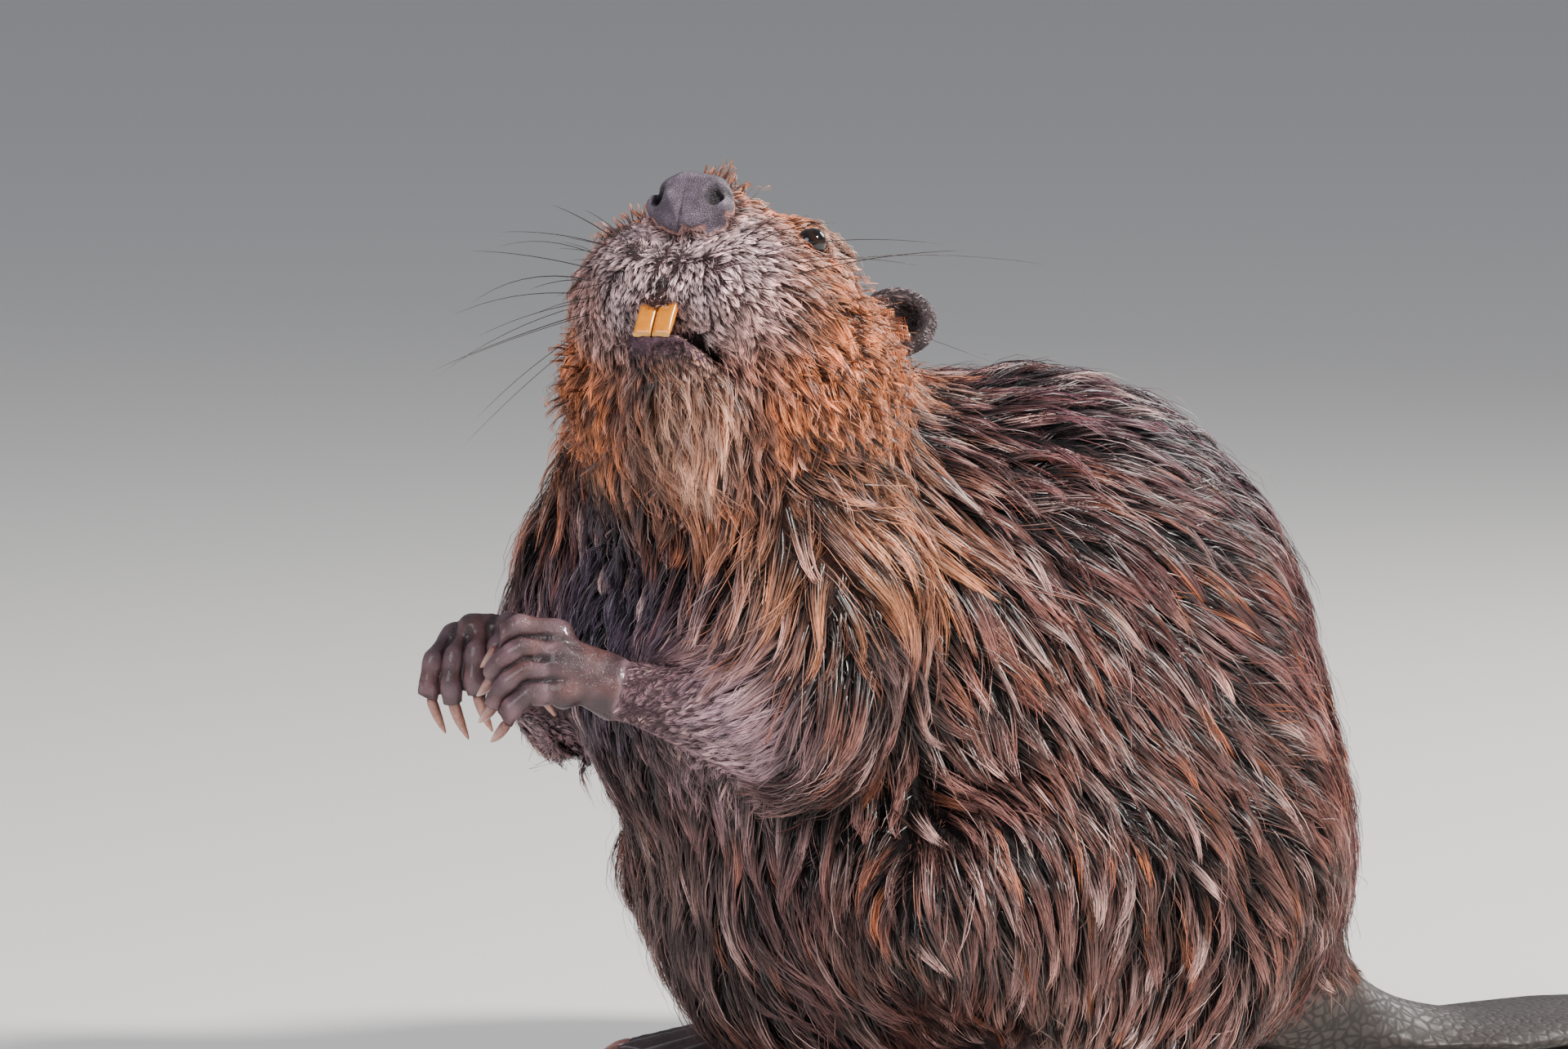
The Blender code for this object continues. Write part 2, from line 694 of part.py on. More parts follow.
def make_eye(head, side):
    centre = on_head(EYE_PLACE.x, side * EYE_PLACE.y, EYE_PLACE.z)
    with_shape(head, "DIFFERENCE", add_ellipsoid, centre, [EYE_RADIUS + 2 * GAP] * 3, HEAD, 2)
    node = link(
        f"eye_{SIDE_NAMES[side]}", mesh_of("eye", lambda bm: add_ball(bm, centre, EYE_RADIUS))
    )
    paint(node, "eyeball")


def make_incisors(head, jaw):
    """The two upper incisors, bevelled plates whose roots are set in one slot of the upper lip."""
    height = INCISOR_TIP.z + INCISOR_LENGTH / 2
    size = Vector((INCISOR_THICKNESS, INCISOR_WIDTH, INCISOR_LENGTH))
    slot = Vector((INCISOR_THICKNESS + 2 * GAP, 2 * INCISOR_WIDTH + 3 * GAP, INCISOR_LENGTH + 2 * GAP))
    for owner in (head, jaw):
        with_shape(owner, "DIFFERENCE", add_box, on_head(INCISOR_TIP.x, 0, height), slot, HEAD)
    for side, name in SIDE_NAMES.items():
        middle = on_head(INCISOR_TIP.x, side * (INCISOR_WIDTH + GAP) / 2, height)
        node = link(f"incisor_{name}", mesh_of("incisor", lambda bm: add_box(bm, middle, size, HEAD)))
        bevel = node.modifiers.new("round_edges", "BEVEL")
        bevel.width = 0.0011
        bevel.segments = 1
        apply_modifiers(node)
        paint(node, "incisor")


def main():
    for obj in list(bpy.data.objects):
        bpy.data.objects.remove(obj)
    body = smooth_body()
    for side, name in SIDE_NAMES.items():
        foot = part_off(body, f"foot_{name}", lambda bm, grow: foot_region(bm, grow, side))
        make_claws(foot, f"claw_foot_{name}", foot_claws(side))
        paint(foot, "bare_skin")
        for region, node in (
            (shank_region, "shank"),
            (thigh_region, "thigh"),
            (forearm_region, "forearm"),
            (upper_arm_region, "upper_arm"),
        ):
            piece = part_off(body, f"{node}_{name}", lambda bm, grow: region(bm, grow, side))
            if node == "forearm":
                hand = HANDS[0] if side == LEFT else HANDS[1]
                with_shape(piece, "DIFFERENCE", beyond_wrist, hand, GAP / 2)
            paint(piece, "coat")
    for hand in HANDS:
        make_hand(hand)
    paint(part_off(body, "tail", tail_region), "tail_scales")
    head = part_off(body, "head", head_region)
    paint(part_off(body, "neck", neck_region), "coat")
    paint(body, "coat")
    jaw = part_off(head, "lower_jaw", jaw_region)
    paint(part_off(head, "nose", nose_region), "nose")
    make_incisors(head, jaw)
    for side in SIDE_NAMES:
        make_eye(head, side)
        make_ear(head, side)
    paint(head, "coat")
    paint(jaw, "coat")


main()
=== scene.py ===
"""A life-size beaver sitting up on its haunches: skin, wet coat, whiskers, eyes, teeth and claws.

The animal faces -Y, its left side is at +X and the floor is z = 0. Sizes are in metres.
One skin is remeshed from the frame's nodes of flesh, sunk by the coat's depth and modelled with soft brushes.
The coat is laid over it in layers: guide hairs run over the skin along the lie of the coat, and strands gather
to them in locks.
"""
import math

import bmesh
import bpy
import numpy as np
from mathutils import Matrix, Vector, kdtree
from mathutils.bvhtree import BVHTree
from mathutils.geometry import convex_hull_2d


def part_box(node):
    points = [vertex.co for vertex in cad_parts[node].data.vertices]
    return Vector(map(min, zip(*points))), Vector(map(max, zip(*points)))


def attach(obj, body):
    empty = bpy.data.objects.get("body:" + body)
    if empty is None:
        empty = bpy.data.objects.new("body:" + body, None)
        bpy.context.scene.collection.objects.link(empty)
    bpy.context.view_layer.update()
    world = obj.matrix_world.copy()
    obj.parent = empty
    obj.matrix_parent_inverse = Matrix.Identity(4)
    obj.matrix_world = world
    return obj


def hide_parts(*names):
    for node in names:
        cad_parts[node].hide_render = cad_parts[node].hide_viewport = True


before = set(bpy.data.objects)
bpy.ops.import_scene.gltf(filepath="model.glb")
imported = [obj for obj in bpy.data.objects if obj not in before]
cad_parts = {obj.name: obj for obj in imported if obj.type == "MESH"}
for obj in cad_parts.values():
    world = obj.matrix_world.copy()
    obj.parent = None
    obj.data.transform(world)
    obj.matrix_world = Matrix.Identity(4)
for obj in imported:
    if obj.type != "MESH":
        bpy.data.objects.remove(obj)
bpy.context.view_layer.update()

# ---------------------------------------------------------------- places and sizes
HEAD_TURN, HEAD_LIFT, HEAD_ROLL = math.radians(36), math.radians(38.5), math.radians(2)
NOSE_TIP = np.array((0.069, -0.1986, 0.4002))
DOWN = np.array((0.0, 0.0, -1.0))
SIDES = {"left": 1, "right": -1}

SWELL = 0.0006  # closes the gaps between the frame's nodes
VOXEL = 0.0015
SKIN_TRIANGLES = 88000
THINNING_BIAS = 0.00004  # how far the thinning spares the finer places
PART_ROUNDS = 5  # of smoothing between one part of the body and the next

HAUNCH_FOLD = ((0.118, -0.145, 0.142), (0.124, -0.085, 0.185), (0.120, -0.025, 0.212), (0.112, 0.020, 0.222))
FOLD_DEPTH, FOLD_WIDTH = 0.011, 0.014

# group of flesh: the depth of its coat
COAT_DEPTH = {
    "trunk": 0.0095,
    "neck": 0.0065,
    "head": 0.0042,
    "lower_jaw": 0.0050,
    "nose": 0.0002,
    "ear": 0.0012,
    "upper_arm": 0.0075,
    "forearm": 0.0012,
    "hand": 0.0002,
    "thigh": 0.0085,
    "shank": 0.0060,
    "foot": 0.0004,
    "tail": 0.0004,
}
GROUPS = list(COAT_DEPTH)
BARE = ("nose", "hand", "foot", "tail")


def unit(vectors):
    vectors = np.asarray(vectors, float)
    return vectors / np.maximum(np.linalg.norm(vectors, axis=-1, keepdims=True), 1e-12)


def cut(values):
    """Cut off below 0 and above 1."""
    return np.clip(values, 0, 1)


def ease(values):
    """Smooth from 0 to 1."""
    values = cut(values)
    return values * values * (3 - 2 * values)


def ridge(offset, width):
    """1 where the offset is 0, falling off softly to both sides."""
    return np.exp(-((offset / width) ** 2))


def mix(a, b, share):
    """From a to b, row by row."""
    share = np.asarray(share)
    if np.ndim(b) == 2 or np.ndim(a) == 2:
        share = share[:, None]
    return a + (np.asarray(b) - a) * share


def eyeball(side):
    """The centre and the radius of the frame's eye."""
    low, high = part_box(f"eye_{side}")
    return box_centre(f"eye_{side}"), (high[0] - low[0]) / 2


def head_axes():
    """The head's forward, left and up directions as columns."""
    forward = np.array((math.sin(HEAD_TURN), -math.cos(HEAD_TURN), 0)) * math.cos(HEAD_LIFT)
    forward[2] = math.sin(HEAD_LIFT)
    level = np.array((math.cos(HEAD_TURN), math.sin(HEAD_TURN), 0))
    left = level * math.cos(HEAD_ROLL) + np.cross(forward, level) * math.sin(HEAD_ROLL)
    return np.column_stack((forward, left, np.cross(forward, left)))


HEAD = head_axes()


def on_head(forward, left, up):
    return NOSE_TIP + HEAD @ np.array((forward, left, up))


def in_head(points):
    """Forward, left and up from the tip of the nose."""
    return (points - NOSE_TIP) @ HEAD


def within(points, centre, radii):
    """1 at the centre of an ellipsoid, easing to 0 at its surface."""
    reach = np.linalg.norm((points - np.array(centre)) / np.array(radii), axis=1)
    return ease(1 - reach)


def distance(points, place):
    return np.linalg.norm(points - place, axis=1)


def fold(points, across):
    """The points with the right side laid over the left; across is the axis from side to side."""
    folded = points.copy()
    folded[:, across] = np.abs(folded[:, across])
    return folded


def box_centre(node):
    low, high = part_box(node)
    return (np.array(low) + np.array(high)) / 2


WAVES, WAVES_TOTAL = 6, 3.2  # added up, and what their sum is divided by


def waves(points, size, seed):
    """Smooth noise from about -1 to 1 with features of about a size: plane waves in random directions."""
    source = np.random.default_rng(seed)
    total = np.zeros(len(points))
    for _ in range(WAVES):
        turn = unit(source.normal(size=3)) * source.uniform(0.7, 1.6) / size
        total += np.sin(points @ turn * 2 * math.pi * 0.5 + source.uniform(0, 2 * math.pi))
    return total / WAVES_TOTAL


def colour(red, green, blue):
    """A colour as it looks, in linear light."""
    look = np.array((red, green, blue))
    return np.where(look > 0.04045, ((look + 0.055) / 1.055) ** 2.4, look / 12.92)


def tree_of(places):
    """A tree that finds the nearest of some places."""
    tree = kdtree.KDTree(len(places))
    for i, place in enumerate(places):
        tree.insert(place, i)
    tree.balance()
    return tree


# ---------------------------------------------------------------- meshes
def link(name, mesh):
    obj = bpy.data.objects.new(name, mesh)
    bpy.context.scene.collection.objects.link(obj)
    return obj


def apply_modifiers(obj):
    graph = bpy.context.evaluated_depsgraph_get()
    mesh = bpy.data.meshes.new_from_object(obj.evaluated_get(graph))
    obj.modifiers.clear()
    obj.data = mesh


def vertices_of(mesh):
    flat = np.empty(len(mesh.vertices) * 3, np.float32)
    mesh.vertices.foreach_get("co", flat)
    return flat.reshape(-1, 3).astype(float)


def set_vertices(mesh, points):
    mesh.vertices.foreach_set("co", points.astype(np.float32).ravel())
    mesh.update()


def set_tint(mesh, tints):
    layer = mesh.color_attributes.new(name="tint", type="FLOAT_COLOR", domain="POINT")
    full = np.ones((len(tints), 4), np.float32)
    full[:, :3] = tints
    layer.data.foreach_set("color", full.ravel())


def finish_mesh(bm, name):
    """A smooth object of a bmesh."""
    mesh = bpy.data.meshes.new(name)
    bm.to_mesh(mesh)
    bm.free()
    mesh.shade_smooth()
    return link(name, mesh)


def set_blend(mesh, first, second, share):
    """Tints from one colour to another, by a share at each vertex."""
    set_tint(mesh, mix(np.ones((len(share), 3)) * colour(*first), colour(*second), share))


# ---------------------------------------------------------------- the skin
class Skin:
    """The surface under the coat: places, triangles, neighbours, and fields with a value at each vertex."""

    def __init__(self, mesh, owner_of):
        self.co = vertices_of(mesh)
        flat = np.empty(len(mesh.polygons) * 3, np.int32)
        mesh.loops.foreach_get("vertex_index", flat)
        self.tris = flat.reshape(-1, 3)
        ends = np.concatenate((self.tris[:, [0, 1]], self.tris[:, [1, 2]], self.tris[:, [2, 0]]))
        self.edges = np.unique(np.sort(ends, axis=1), axis=0)
        self.degree = np.bincount(self.edges.ravel(), minlength=len(self.co))
        owners = owner_of(self.co)
        self.part = {group: self.spread((owners == i) * 1.0, PART_ROUNDS) for i, group in enumerate(GROUPS)}
        self.crease, self.knuckle = np.zeros(len(self.co)), np.zeros(len(self.co))
        self.find_normals()

    def find_normals(self):
        a, b, c = (self.co[self.tris[:, i]] for i in range(3))
        cross = np.cross(b - a, c - a)
        self.normal = np.zeros_like(self.co)
        for i in range(3):
            for axis in range(3):
                self.normal[:, axis] += np.bincount(self.tris[:, i], cross[:, axis], len(self.co))
        self.normal = unit(self.normal)

    def spread(self, values, rounds, share=0.6):
        """Values evened out with their neighbours'."""
        columns = values[:, None] if values.ndim == 1 else values
        first, second = self.edges.T
        for _ in range(rounds):
            around = np.empty_like(columns)
            for k in range(columns.shape[1]):
                column = columns[:, k]
                around[:, k] = np.bincount(first, column[second], len(column))
                around[:, k] += np.bincount(second, column[first], len(column))
            columns = columns + (around / self.degree[:, None] - columns) * share
        return columns[:, 0] if values.ndim == 1 else columns

    def push(self, along, reach):
        """Moves each vertex along its own direction."""
        self.co = self.co + along * np.asarray(reach)[:, None]

    def soften(self, rounds, share):
        """Smooths the surface, by a share at each vertex."""
        self.co = mix(self.co, self.spread(self.co, rounds), share)


def swollen_flesh():
    """The flesh nodes as one mesh, each a little swollen so that neighbours overlap, and the group of each face."""
    whole, owners = bmesh.new(), []
    for name, node in sorted(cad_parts.items()):
        group = name.removesuffix("_left").removesuffix("_right")
        if group not in COAT_DEPTH:
            continue
        part = bmesh.new()
        part.from_mesh(node.data)
        bmesh.ops.remove_doubles(part, verts=part.verts, dist=1e-6)
        part.normal_update()
        for vert in part.verts:
            vert.co += vert.normal * SWELL
        mesh = bpy.data.meshes.new(name)
        part.to_mesh(mesh)
        part.free()
        whole.from_mesh(mesh)
        owners += [GROUPS.index(group)] * len(mesh.polygons)
        bpy.data.meshes.remove(mesh)
    return whole, np.array(owners)


# side: the middle knuckle, the way across the knuckles, and the three bones of a finger, as in the frame
HANDS = {
    "left": ((0.0430, -0.2440, 0.1990), (0.30, 0.02, -0.95),
             ((-0.30, -0.90, 0.10), (-0.50, -0.62, -0.55), (-0.62, -0.15, -0.76))),
    "right": ((-0.0340, -0.2420, 0.2040), (-0.72, -0.66, -0.22),
              ((0.36, -0.48, -0.30), (0.12, -0.20, -0.95), (-0.05, 0.16, -0.98))),
}
FINGER_BONES = (0.0150, 0.0115, 0.0085)
FINGER_SPACING, FINGER_RADIUS = 0.0088, 0.0049
FINGER_FAN = 0.08  # how far the outer fingers turn out
WRIST = (0.052, -0.220, 0.187)  # the left one
HAND_REACH = 0.055  # round the middle of the hand


def finger_lines(side):
    """The joints of each finger, from the wrist's end of the hand to the claw."""
    knuckle, across, bones = (np.array(value, float) for value in HANDS[side])
    across, bones = unit(across), unit(bones)
    wrist = np.array(WRIST) * np.array((SIDES[side], 1, 1))
    lines = []
    for place in (-1.5, -0.5, 0.5, 1.5):
        joints = [knuckle + across * place * FINGER_SPACING]
        for bone, length in zip(bones, FINGER_BONES):
            joints.append(joints[-1] + unit(bone + across * FINGER_FAN * place) * length)
        back = joints[0] - unit(joints[1] - joints[0]) * 0.004
        lines.append([mix(back, wrist, 0.75), back, *joints[1:]])
    return lines


def nearest_on_line(points, line):
    """For each point the nearest place on a line of joints, the gap to it, and how far along the line it lies."""
    best = np.full(len(points), np.inf)
    place, run = np.zeros_like(points), np.zeros(len(points))
    start = 0.0
    for a, b in zip(line, line[1:]):
        length = np.linalg.norm(b - a)
        share = cut((points - a) @ (b - a) / length**2)
        foot = a + share[:, None] * (b - a)
        gap = distance(points, foot)
        closer = gap < best
        best = np.where(closer, gap, best)
        place[closer] = foot[closer]
        run = np.where(closer, start + share * length, run)
        start += length
    return place, best, run


def model_hands(skin):
    """Round fingers with creases between them, thicker at the joints."""
    for side in SIDES:
        lines = finger_lines(side)
        index = np.nonzero(distance(skin.co, box_centre(f"hand_{side}")) < HAND_REACH)[0]
        points, normal, hand = skin.co[index], skin.normal[index], skin.part["hand"][index]
        places, gaps, runs = (np.stack(rows) for rows in zip(*(nearest_on_line(points, line) for line in lines)))
        order, column = np.argsort(gaps, axis=0), np.arange(len(points))
        first, second = gaps[order[0], column], gaps[order[1], column]
        place, run = places[order[0], column], runs[order[0], column]
        palm = np.linalg.norm(lines[0][1] - lines[0][0])
        bend = palm + FINGER_BONES[0] + 0.004
        joints = (palm + 0.003, bend, bend + FINGER_BONES[1])
        radius = FINGER_RADIUS * (1 - 0.12 * ease((run - palm) / 0.035))
        for joint in joints:
            radius += 0.0006 * ridge(run - joint, 0.0032)
        share = hand * ease((run - palm + 0.004) / 0.008) * ease((0.0105 - first) / 0.004)
        moved = mix(points, place + unit(points - place) * radius[:, None], 0.85 * share)
        crease = ridge(second - first, 0.0014) * hand
        crease *= ease((0.0125 - first) / 0.004) * ease((run - 0.3 * palm) / (0.9 * palm))
        skin.co[index] = moved - normal * (0.0011 * crease)[:, None]
        skin.crease[index] = np.maximum(skin.crease[index], crease)
        for joint in joints:
            skin.knuckle[index] = np.maximum(skin.knuckle[index], ridge(run - joint, 0.0040) * share)


def fineness(points):
    """Where the skin needs small triangles: 1 on the head and the hands, and less on the feet."""
    detail = within(points, on_head(-0.050, 0, -0.025), (0.16, 0.16, 0.16)) * 1.6
    for side in SIDES:
        for part, reach, most in (("hand", (0.05, 0.05, 0.05), 2), ("foot", (0.12, 0.14, 0.05), 0.6)):
            detail = np.maximum(detail, most * within(points, box_centre(f"{part}_{side}"), reach))
    return cut(detail)


def refine(mesh, places):
    """Halves the edges near each place (a centre and a radius), once for each time that it is named."""
    bm = bmesh.new()
    bm.from_mesh(mesh)
    for centre, radius in places:
        middle = Vector(centre)
        edges = [edge for edge in bm.edges if (edge.verts[0].co - middle).length < radius]
        bmesh.ops.subdivide_edges(bm, edges=edges, cuts=1, use_grid_fill=True, smooth=0.6)
        bmesh.ops.triangulate(bm, faces=[face for face in bm.faces if len(face.verts) > 3])
    bm.to_mesh(mesh)
    bm.free()


def make_skin():
    """The flesh remeshed as one skin, thinned out where it is plain and refined at the nose, eyes and hands."""
    whole, owners = swollen_flesh()
    lookup = BVHTree.FromBMesh(whole)

    def owner_of(points):
        return np.array([owners[lookup.find_nearest(Vector(point))[2]] for point in points])

    mesh = bpy.data.meshes.new("skin")
    whole.to_mesh(mesh)
    whole.free()
    obj = link("skin", mesh)
    remesh = obj.modifiers.new("fuse", "REMESH")
    remesh.mode, remesh.voxel_size = "VOXEL", VOXEL
    even = obj.modifiers.new("even", "SMOOTH")
    even.iterations, even.factor = 10, 0.5
    apply_modifiers(obj)
    coarse = obj.vertex_groups.new(name="coarse")
    weights = np.round(1 - 0.95 * fineness(vertices_of(obj.data)), 1)
    for share in np.unique(weights):
        coarse.add(np.nonzero(weights == share)[0].tolist(), max(float(share), 0.05), "REPLACE")
    thin = obj.modifiers.new("thin_out", "DECIMATE")
    thin.ratio = SKIN_TRIANGLES / (2 * len(obj.data.polygons))
    thin.vertex_group, thin.vertex_group_factor = coarse.name, THINNING_BIAS
    thin.use_collapse_triangulate = True
    apply_modifiers(obj)
    obj.vertex_groups.clear()
    nose = (on_head(-0.016, 0, -0.036), 0.047), (on_head(-0.008, 0, -0.004), 0.022)
    eyes = [(box_centre(f"eye_{side}"), 0.013) for side in SIDES]
    hands = [(box_centre(f"hand_{side}"), 0.034) for side in SIDES]
    refine(obj.data, [*nose, *eyes, *eyes, *hands])
    obj.data.shade_smooth()
    return obj, Skin(obj.data, owner_of)


TAIL_BEND = (0.0, 0.185, 0.035)
MUZZLE_COAT = 0.0014  # the depth of the coat round the nose


def furred_root(skin):
    """Where the coat runs on over the root of the tail and the heels."""
    tail = ease((skin.co[:, 2] - 0.030) / 0.022)
    heel = ease((skin.co[:, 1] + 0.050) / 0.035) * ease((skin.co[:, 2] - 0.008) / 0.010)
    return tail * skin.part["tail"] + heel * skin.part["foot"]


def haunch_fold(points):
    """A furrow where the flank meets the haunch."""
    gap = nearest_on_line(fold(points, 0), [np.array(place) for place in HAUNCH_FOLD])[1]
    return ridge(gap, FOLD_WIDTH)


def sink(skin):
    """Lowers the skin from the coat's tips to the hairs' roots, and smooths it where its parts meet."""
    at, part = in_head(skin.co), skin.part
    face, body = part["head"] + part["lower_jaw"], part["neck"] + part["trunk"]
    depth = sum(part[group] * depth for group, depth in COAT_DEPTH.items())
    muzzle = within(at, (-0.020, 0, -0.030), (0.055, 0.060, 0.062)) * 1.8
    depth = mix(depth, MUZZLE_COAT, face * cut(muzzle))
    for side in SIDES:
        depth = depth * (1 - 0.9 * cut(2 * within(skin.co, box_centre(f"ear_{side}"), (0.032,) * 3)))
    depth = skin.spread(depth, 12) * (1 - part["nose"])
    soft = cut(1.4 * (part["trunk"] + part["neck"] + part["thigh"]))
    skin.push(skin.normal, -(depth + SWELL + FOLD_DEPTH * haunch_fold(skin.co)))
    skin.soften(12, soft)
    joint = cut(5 * skin.spread(face, 40) * skin.spread(body, 40))
    joint = np.maximum(joint, cut(2 * within(skin.co, TAIL_BEND, (0.10, 0.075, 0.06))))
    skin.soften(80, joint)
    near_nose = skin.spread(part["nose"], 30)
    skin.soften(14, cut(1.5 * part["nose"]))
    skin.soften(50, cut(5 * near_nose * (1 - near_nose) * (at[:, 0] < -0.008)))
    skin.co = skin.spread(skin.co, 1, 0.3)
    skin.find_normals()


NOSE_PAD_DEPTH = 0.0175  # of bare skin behind the tip of the nose
# on the head, with both sides alike: forward, left and up from the tip of the nose, and the reach each way
NOSE_SHAPES = {
    "nostril": ((-0.0050, 0.0125, -0.0035), (0.0085, 0.0046, 0.0060)),
    "slit": ((-0.0085, 0.0165, 0.0010), (0.0090, 0.0040, 0.0034)),  # behind the nostril
    "rim": ((-0.0040, 0.0125, 0.0040), (0.0090, 0.0085, 0.0060)),
    "wing": ((-0.0070, 0.0175, -0.0080), (0.0090, 0.0060, 0.0080)),
    "groove": ((-0.0060, 0, -0.0150), (0.020, 0.0016, 0.020)),  # between the nostrils
    "lip_groove": ((-0.0100, 0, -0.0400), (0.026, 0.0042, 0.034)),
    "parting": ((-0.0100, 0, -0.0400), (0.030, 0.0034, 0.034)),  # of the hair on the lip
    "pad": ((-0.026, 0.029, -0.034), (0.028, 0.022, 0.030)),  # of the whiskers
    "behind_pad": ((-0.056, 0.050, -0.042), (0.020, 0.024, 0.034)),
}
# how far each stands out, one step after another
NOSE_RELIEF = (
    {"pad": 0.0045, "behind_pad": -0.0040},
    {"rim": 0.0011, "wing": 0.0010},
    {"groove": -0.0009, "lip_groove": -0.0020},
)
NOSTRIL_DEPTH, SLIT_DEPTH = 0.0062, 0.0034


def model_nose(skin):
    """The whisker pads, and a nose with nostrils; the coat takes over again behind its pad of bare skin."""
    part, at = skin.part, fold(in_head(skin.co), 1)
    shapes = {name: within(at, *place) for name, place in NOSE_SHAPES.items()}
    shapes["pad"] = shapes["pad"] * (1 - part["nose"])
    for relief in NOSE_RELIEF:
        skin.push(skin.normal, sum(shapes[name] * height for name, height in relief.items()))
    inward = -HEAD[:, 0][None, :] * np.ones((len(at), 1))
    skin.push(inward, NOSTRIL_DEPTH * cut(shapes["nostril"] * 1.6) + SLIT_DEPTH * shapes["slit"])
    skin.groove = cut(1.5 * shapes["parting"])
    skin.nostril = cut(shapes["nostril"] * 2.2 + shapes["slit"] * 1.2)
    furred_back = part["nose"] * (1 - ease((at[:, 0] + NOSE_PAD_DEPTH + 0.004) / 0.006))
    part["nose"] = part["nose"] - furred_back
    part["head"] = part["head"] + furred_back


MOUTH_HEIGHT, MOUTH_SLOPE = -0.0660, 0.30  # over the tip of the nose in the middle, and rising to the sides
LIP_CORNER = 0.024  # from the middle
LOWER_LIP_FRONT = -0.0105  # forward of the tip of the nose
SLOT_DEPTH = 0.0100


def model_mouth(skin):
    """A slot between the lips, which runs back to a corner on each side, and a rounded lower lip."""
    at = in_head(skin.co)
    side = np.abs(at[:, 1])
    inner = np.minimum(side, LIP_CORNER)
    over = at[:, 2] - (MOUTH_HEIGHT + MOUTH_SLOPE * inner)
    reach = ease((0.0210 - side) / 0.006)
    front = ease((at[:, 0] + 0.052) / 0.012)
    slot = ridge(over, 0.0032 - 0.055 * inner) * reach * front
    lower = ridge(over + 0.0072, 0.0050) * ease((0.0220 - side) / 0.009) * front
    upper = ridge(over - 0.0085, 0.0060) * reach * front
    forward = np.ones((len(at), 1)) * HEAD[:, 0]
    short = np.clip(LOWER_LIP_FRONT - 26 * side**2 - at[:, 0], 0, 0.014)
    skin.push(forward, short * cut(1.1 * lower))
    skin.push(-unit(forward * 0.8 + skin.normal * 0.4), SLOT_DEPTH * slot)
    skin.push(skin.normal, 0.0010 * upper)
    skin.mouth = slot
    skin.lower_lip = cut(lower * 1.7)


EYE_OPENING = (0.0043, 0.0034)  # half its length and half its height
LID_THICKNESS = 0.0009
LID_CREASE = 0.0006  # deep, and the lid's rim stands out as far


def eye_axes(side):
    """Along the lids towards the nose, up across them, and out of the head, as columns."""
    outward = unit(HEAD @ np.array((0.52, SIDES[side] * 0.70, 0.40)))
    along = HEAD @ np.array((0.80, -SIDES[side] * 0.25, -0.42))
    along = unit(along - along @ outward * outward)
    upward = np.cross(outward, along) * SIDES[side]
    return np.column_stack((along, upward, outward))


def model_eyes(skin):
    """Lids that close over each eyeball round an almond opening, in a shallow socket."""
    skin.lid = np.zeros(len(skin.co))
    for side in SIDES:
        centre, radius = eyeball(side)
        at = (skin.co - centre) @ eye_axes(side)
        reach = np.linalg.norm(at, axis=1)
        edge = np.hypot(at[:, 0] / EYE_OPENING[0], at[:, 1] / EYE_OPENING[1]) - 1
        near = ease((2.6 * radius - reach) / (1.3 * radius)) * ease((at[:, 2] + 0.2 * radius) / (0.5 * radius))
        opening = ease(-edge / 0.16 + 0.2)
        lid = radius + LID_THICKNESS + LID_CREASE * ridge(edge - 0.28, 0.2)
        hug = near * ease((1.45 - edge) / 0.9)
        target = np.maximum(reach * (1 - hug) + lid * hug, lid * near + reach * (1 - near))
        target = mix(target, radius * 0.80, opening * near)
        skin.co = mix(skin.co, centre + unit(skin.co - centre) * target[:, None], near)
        rim = near * ridge(edge - 0.06, 0.14)
        crease = near * ridge(edge - 0.85, 0.16) * (at[:, 2] > 0)
        skin.push(-skin.normal, LID_CREASE * crease)
        skin.lid = np.maximum(skin.lid, cut(rim * 1.3 + opening * near))


BLADE_CENTRE = (0.0, 0.270)  # of the tail, across and back
BLADE_START = 0.200  # back
BLADE_ROUNDING = 10  # degrees over which its outline is evened out


def round_tail(skin):
    """Evens out the outline of the tail's blade: its reach from the centre, read all round its hull."""
    blade = np.nonzero((skin.part["tail"] > 0.5) & (skin.co[:, 1] > BLADE_START))[0]
    out = skin.co[blade, :2] - np.array(BLADE_CENTRE)
    hull = out[convex_hull_2d([tuple(place) for place in out])]
    edges = np.roll(hull, -1, axis=0) - hull
    outward = np.column_stack((edges[:, 1], -edges[:, 0]))
    gaps = (outward * hull).sum(1)
    outward, gaps = outward * np.sign(gaps)[:, None], np.abs(gaps)
    degrees = np.arange(361)
    facing = np.column_stack((np.cos(np.radians(degrees)), np.sin(np.radians(degrees)))) @ outward.T
    rim = np.where(facing > 1e-9, gaps / np.maximum(facing, 1e-9), np.inf).min(axis=1)
    even, weight = np.zeros(360), 0.0
    for step in range(-2 * BLADE_ROUNDING, 2 * BLADE_ROUNDING + 1):
        share = math.exp(-((step / BLADE_ROUNDING) ** 2))
        even += np.roll(rim[:360], step) * share
        weight += share
    even = np.append(even, even[0]) / weight
    turn = np.degrees(np.arctan2(out[:, 1], out[:, 0])) % 360
    here = np.interp(turn, degrees, rim)
    change = np.interp(turn, degrees, even) / here - 1
    reach = np.linalg.norm(out, axis=1)
    change *= cut(reach / here) ** 3 * ease((out[:, 1] / np.maximum(reach, 1e-6) + 0.45) / 0.35)
    skin.co[blade, :2] += out * change[:, None]


EAR_CUP = 0.0032  # deep


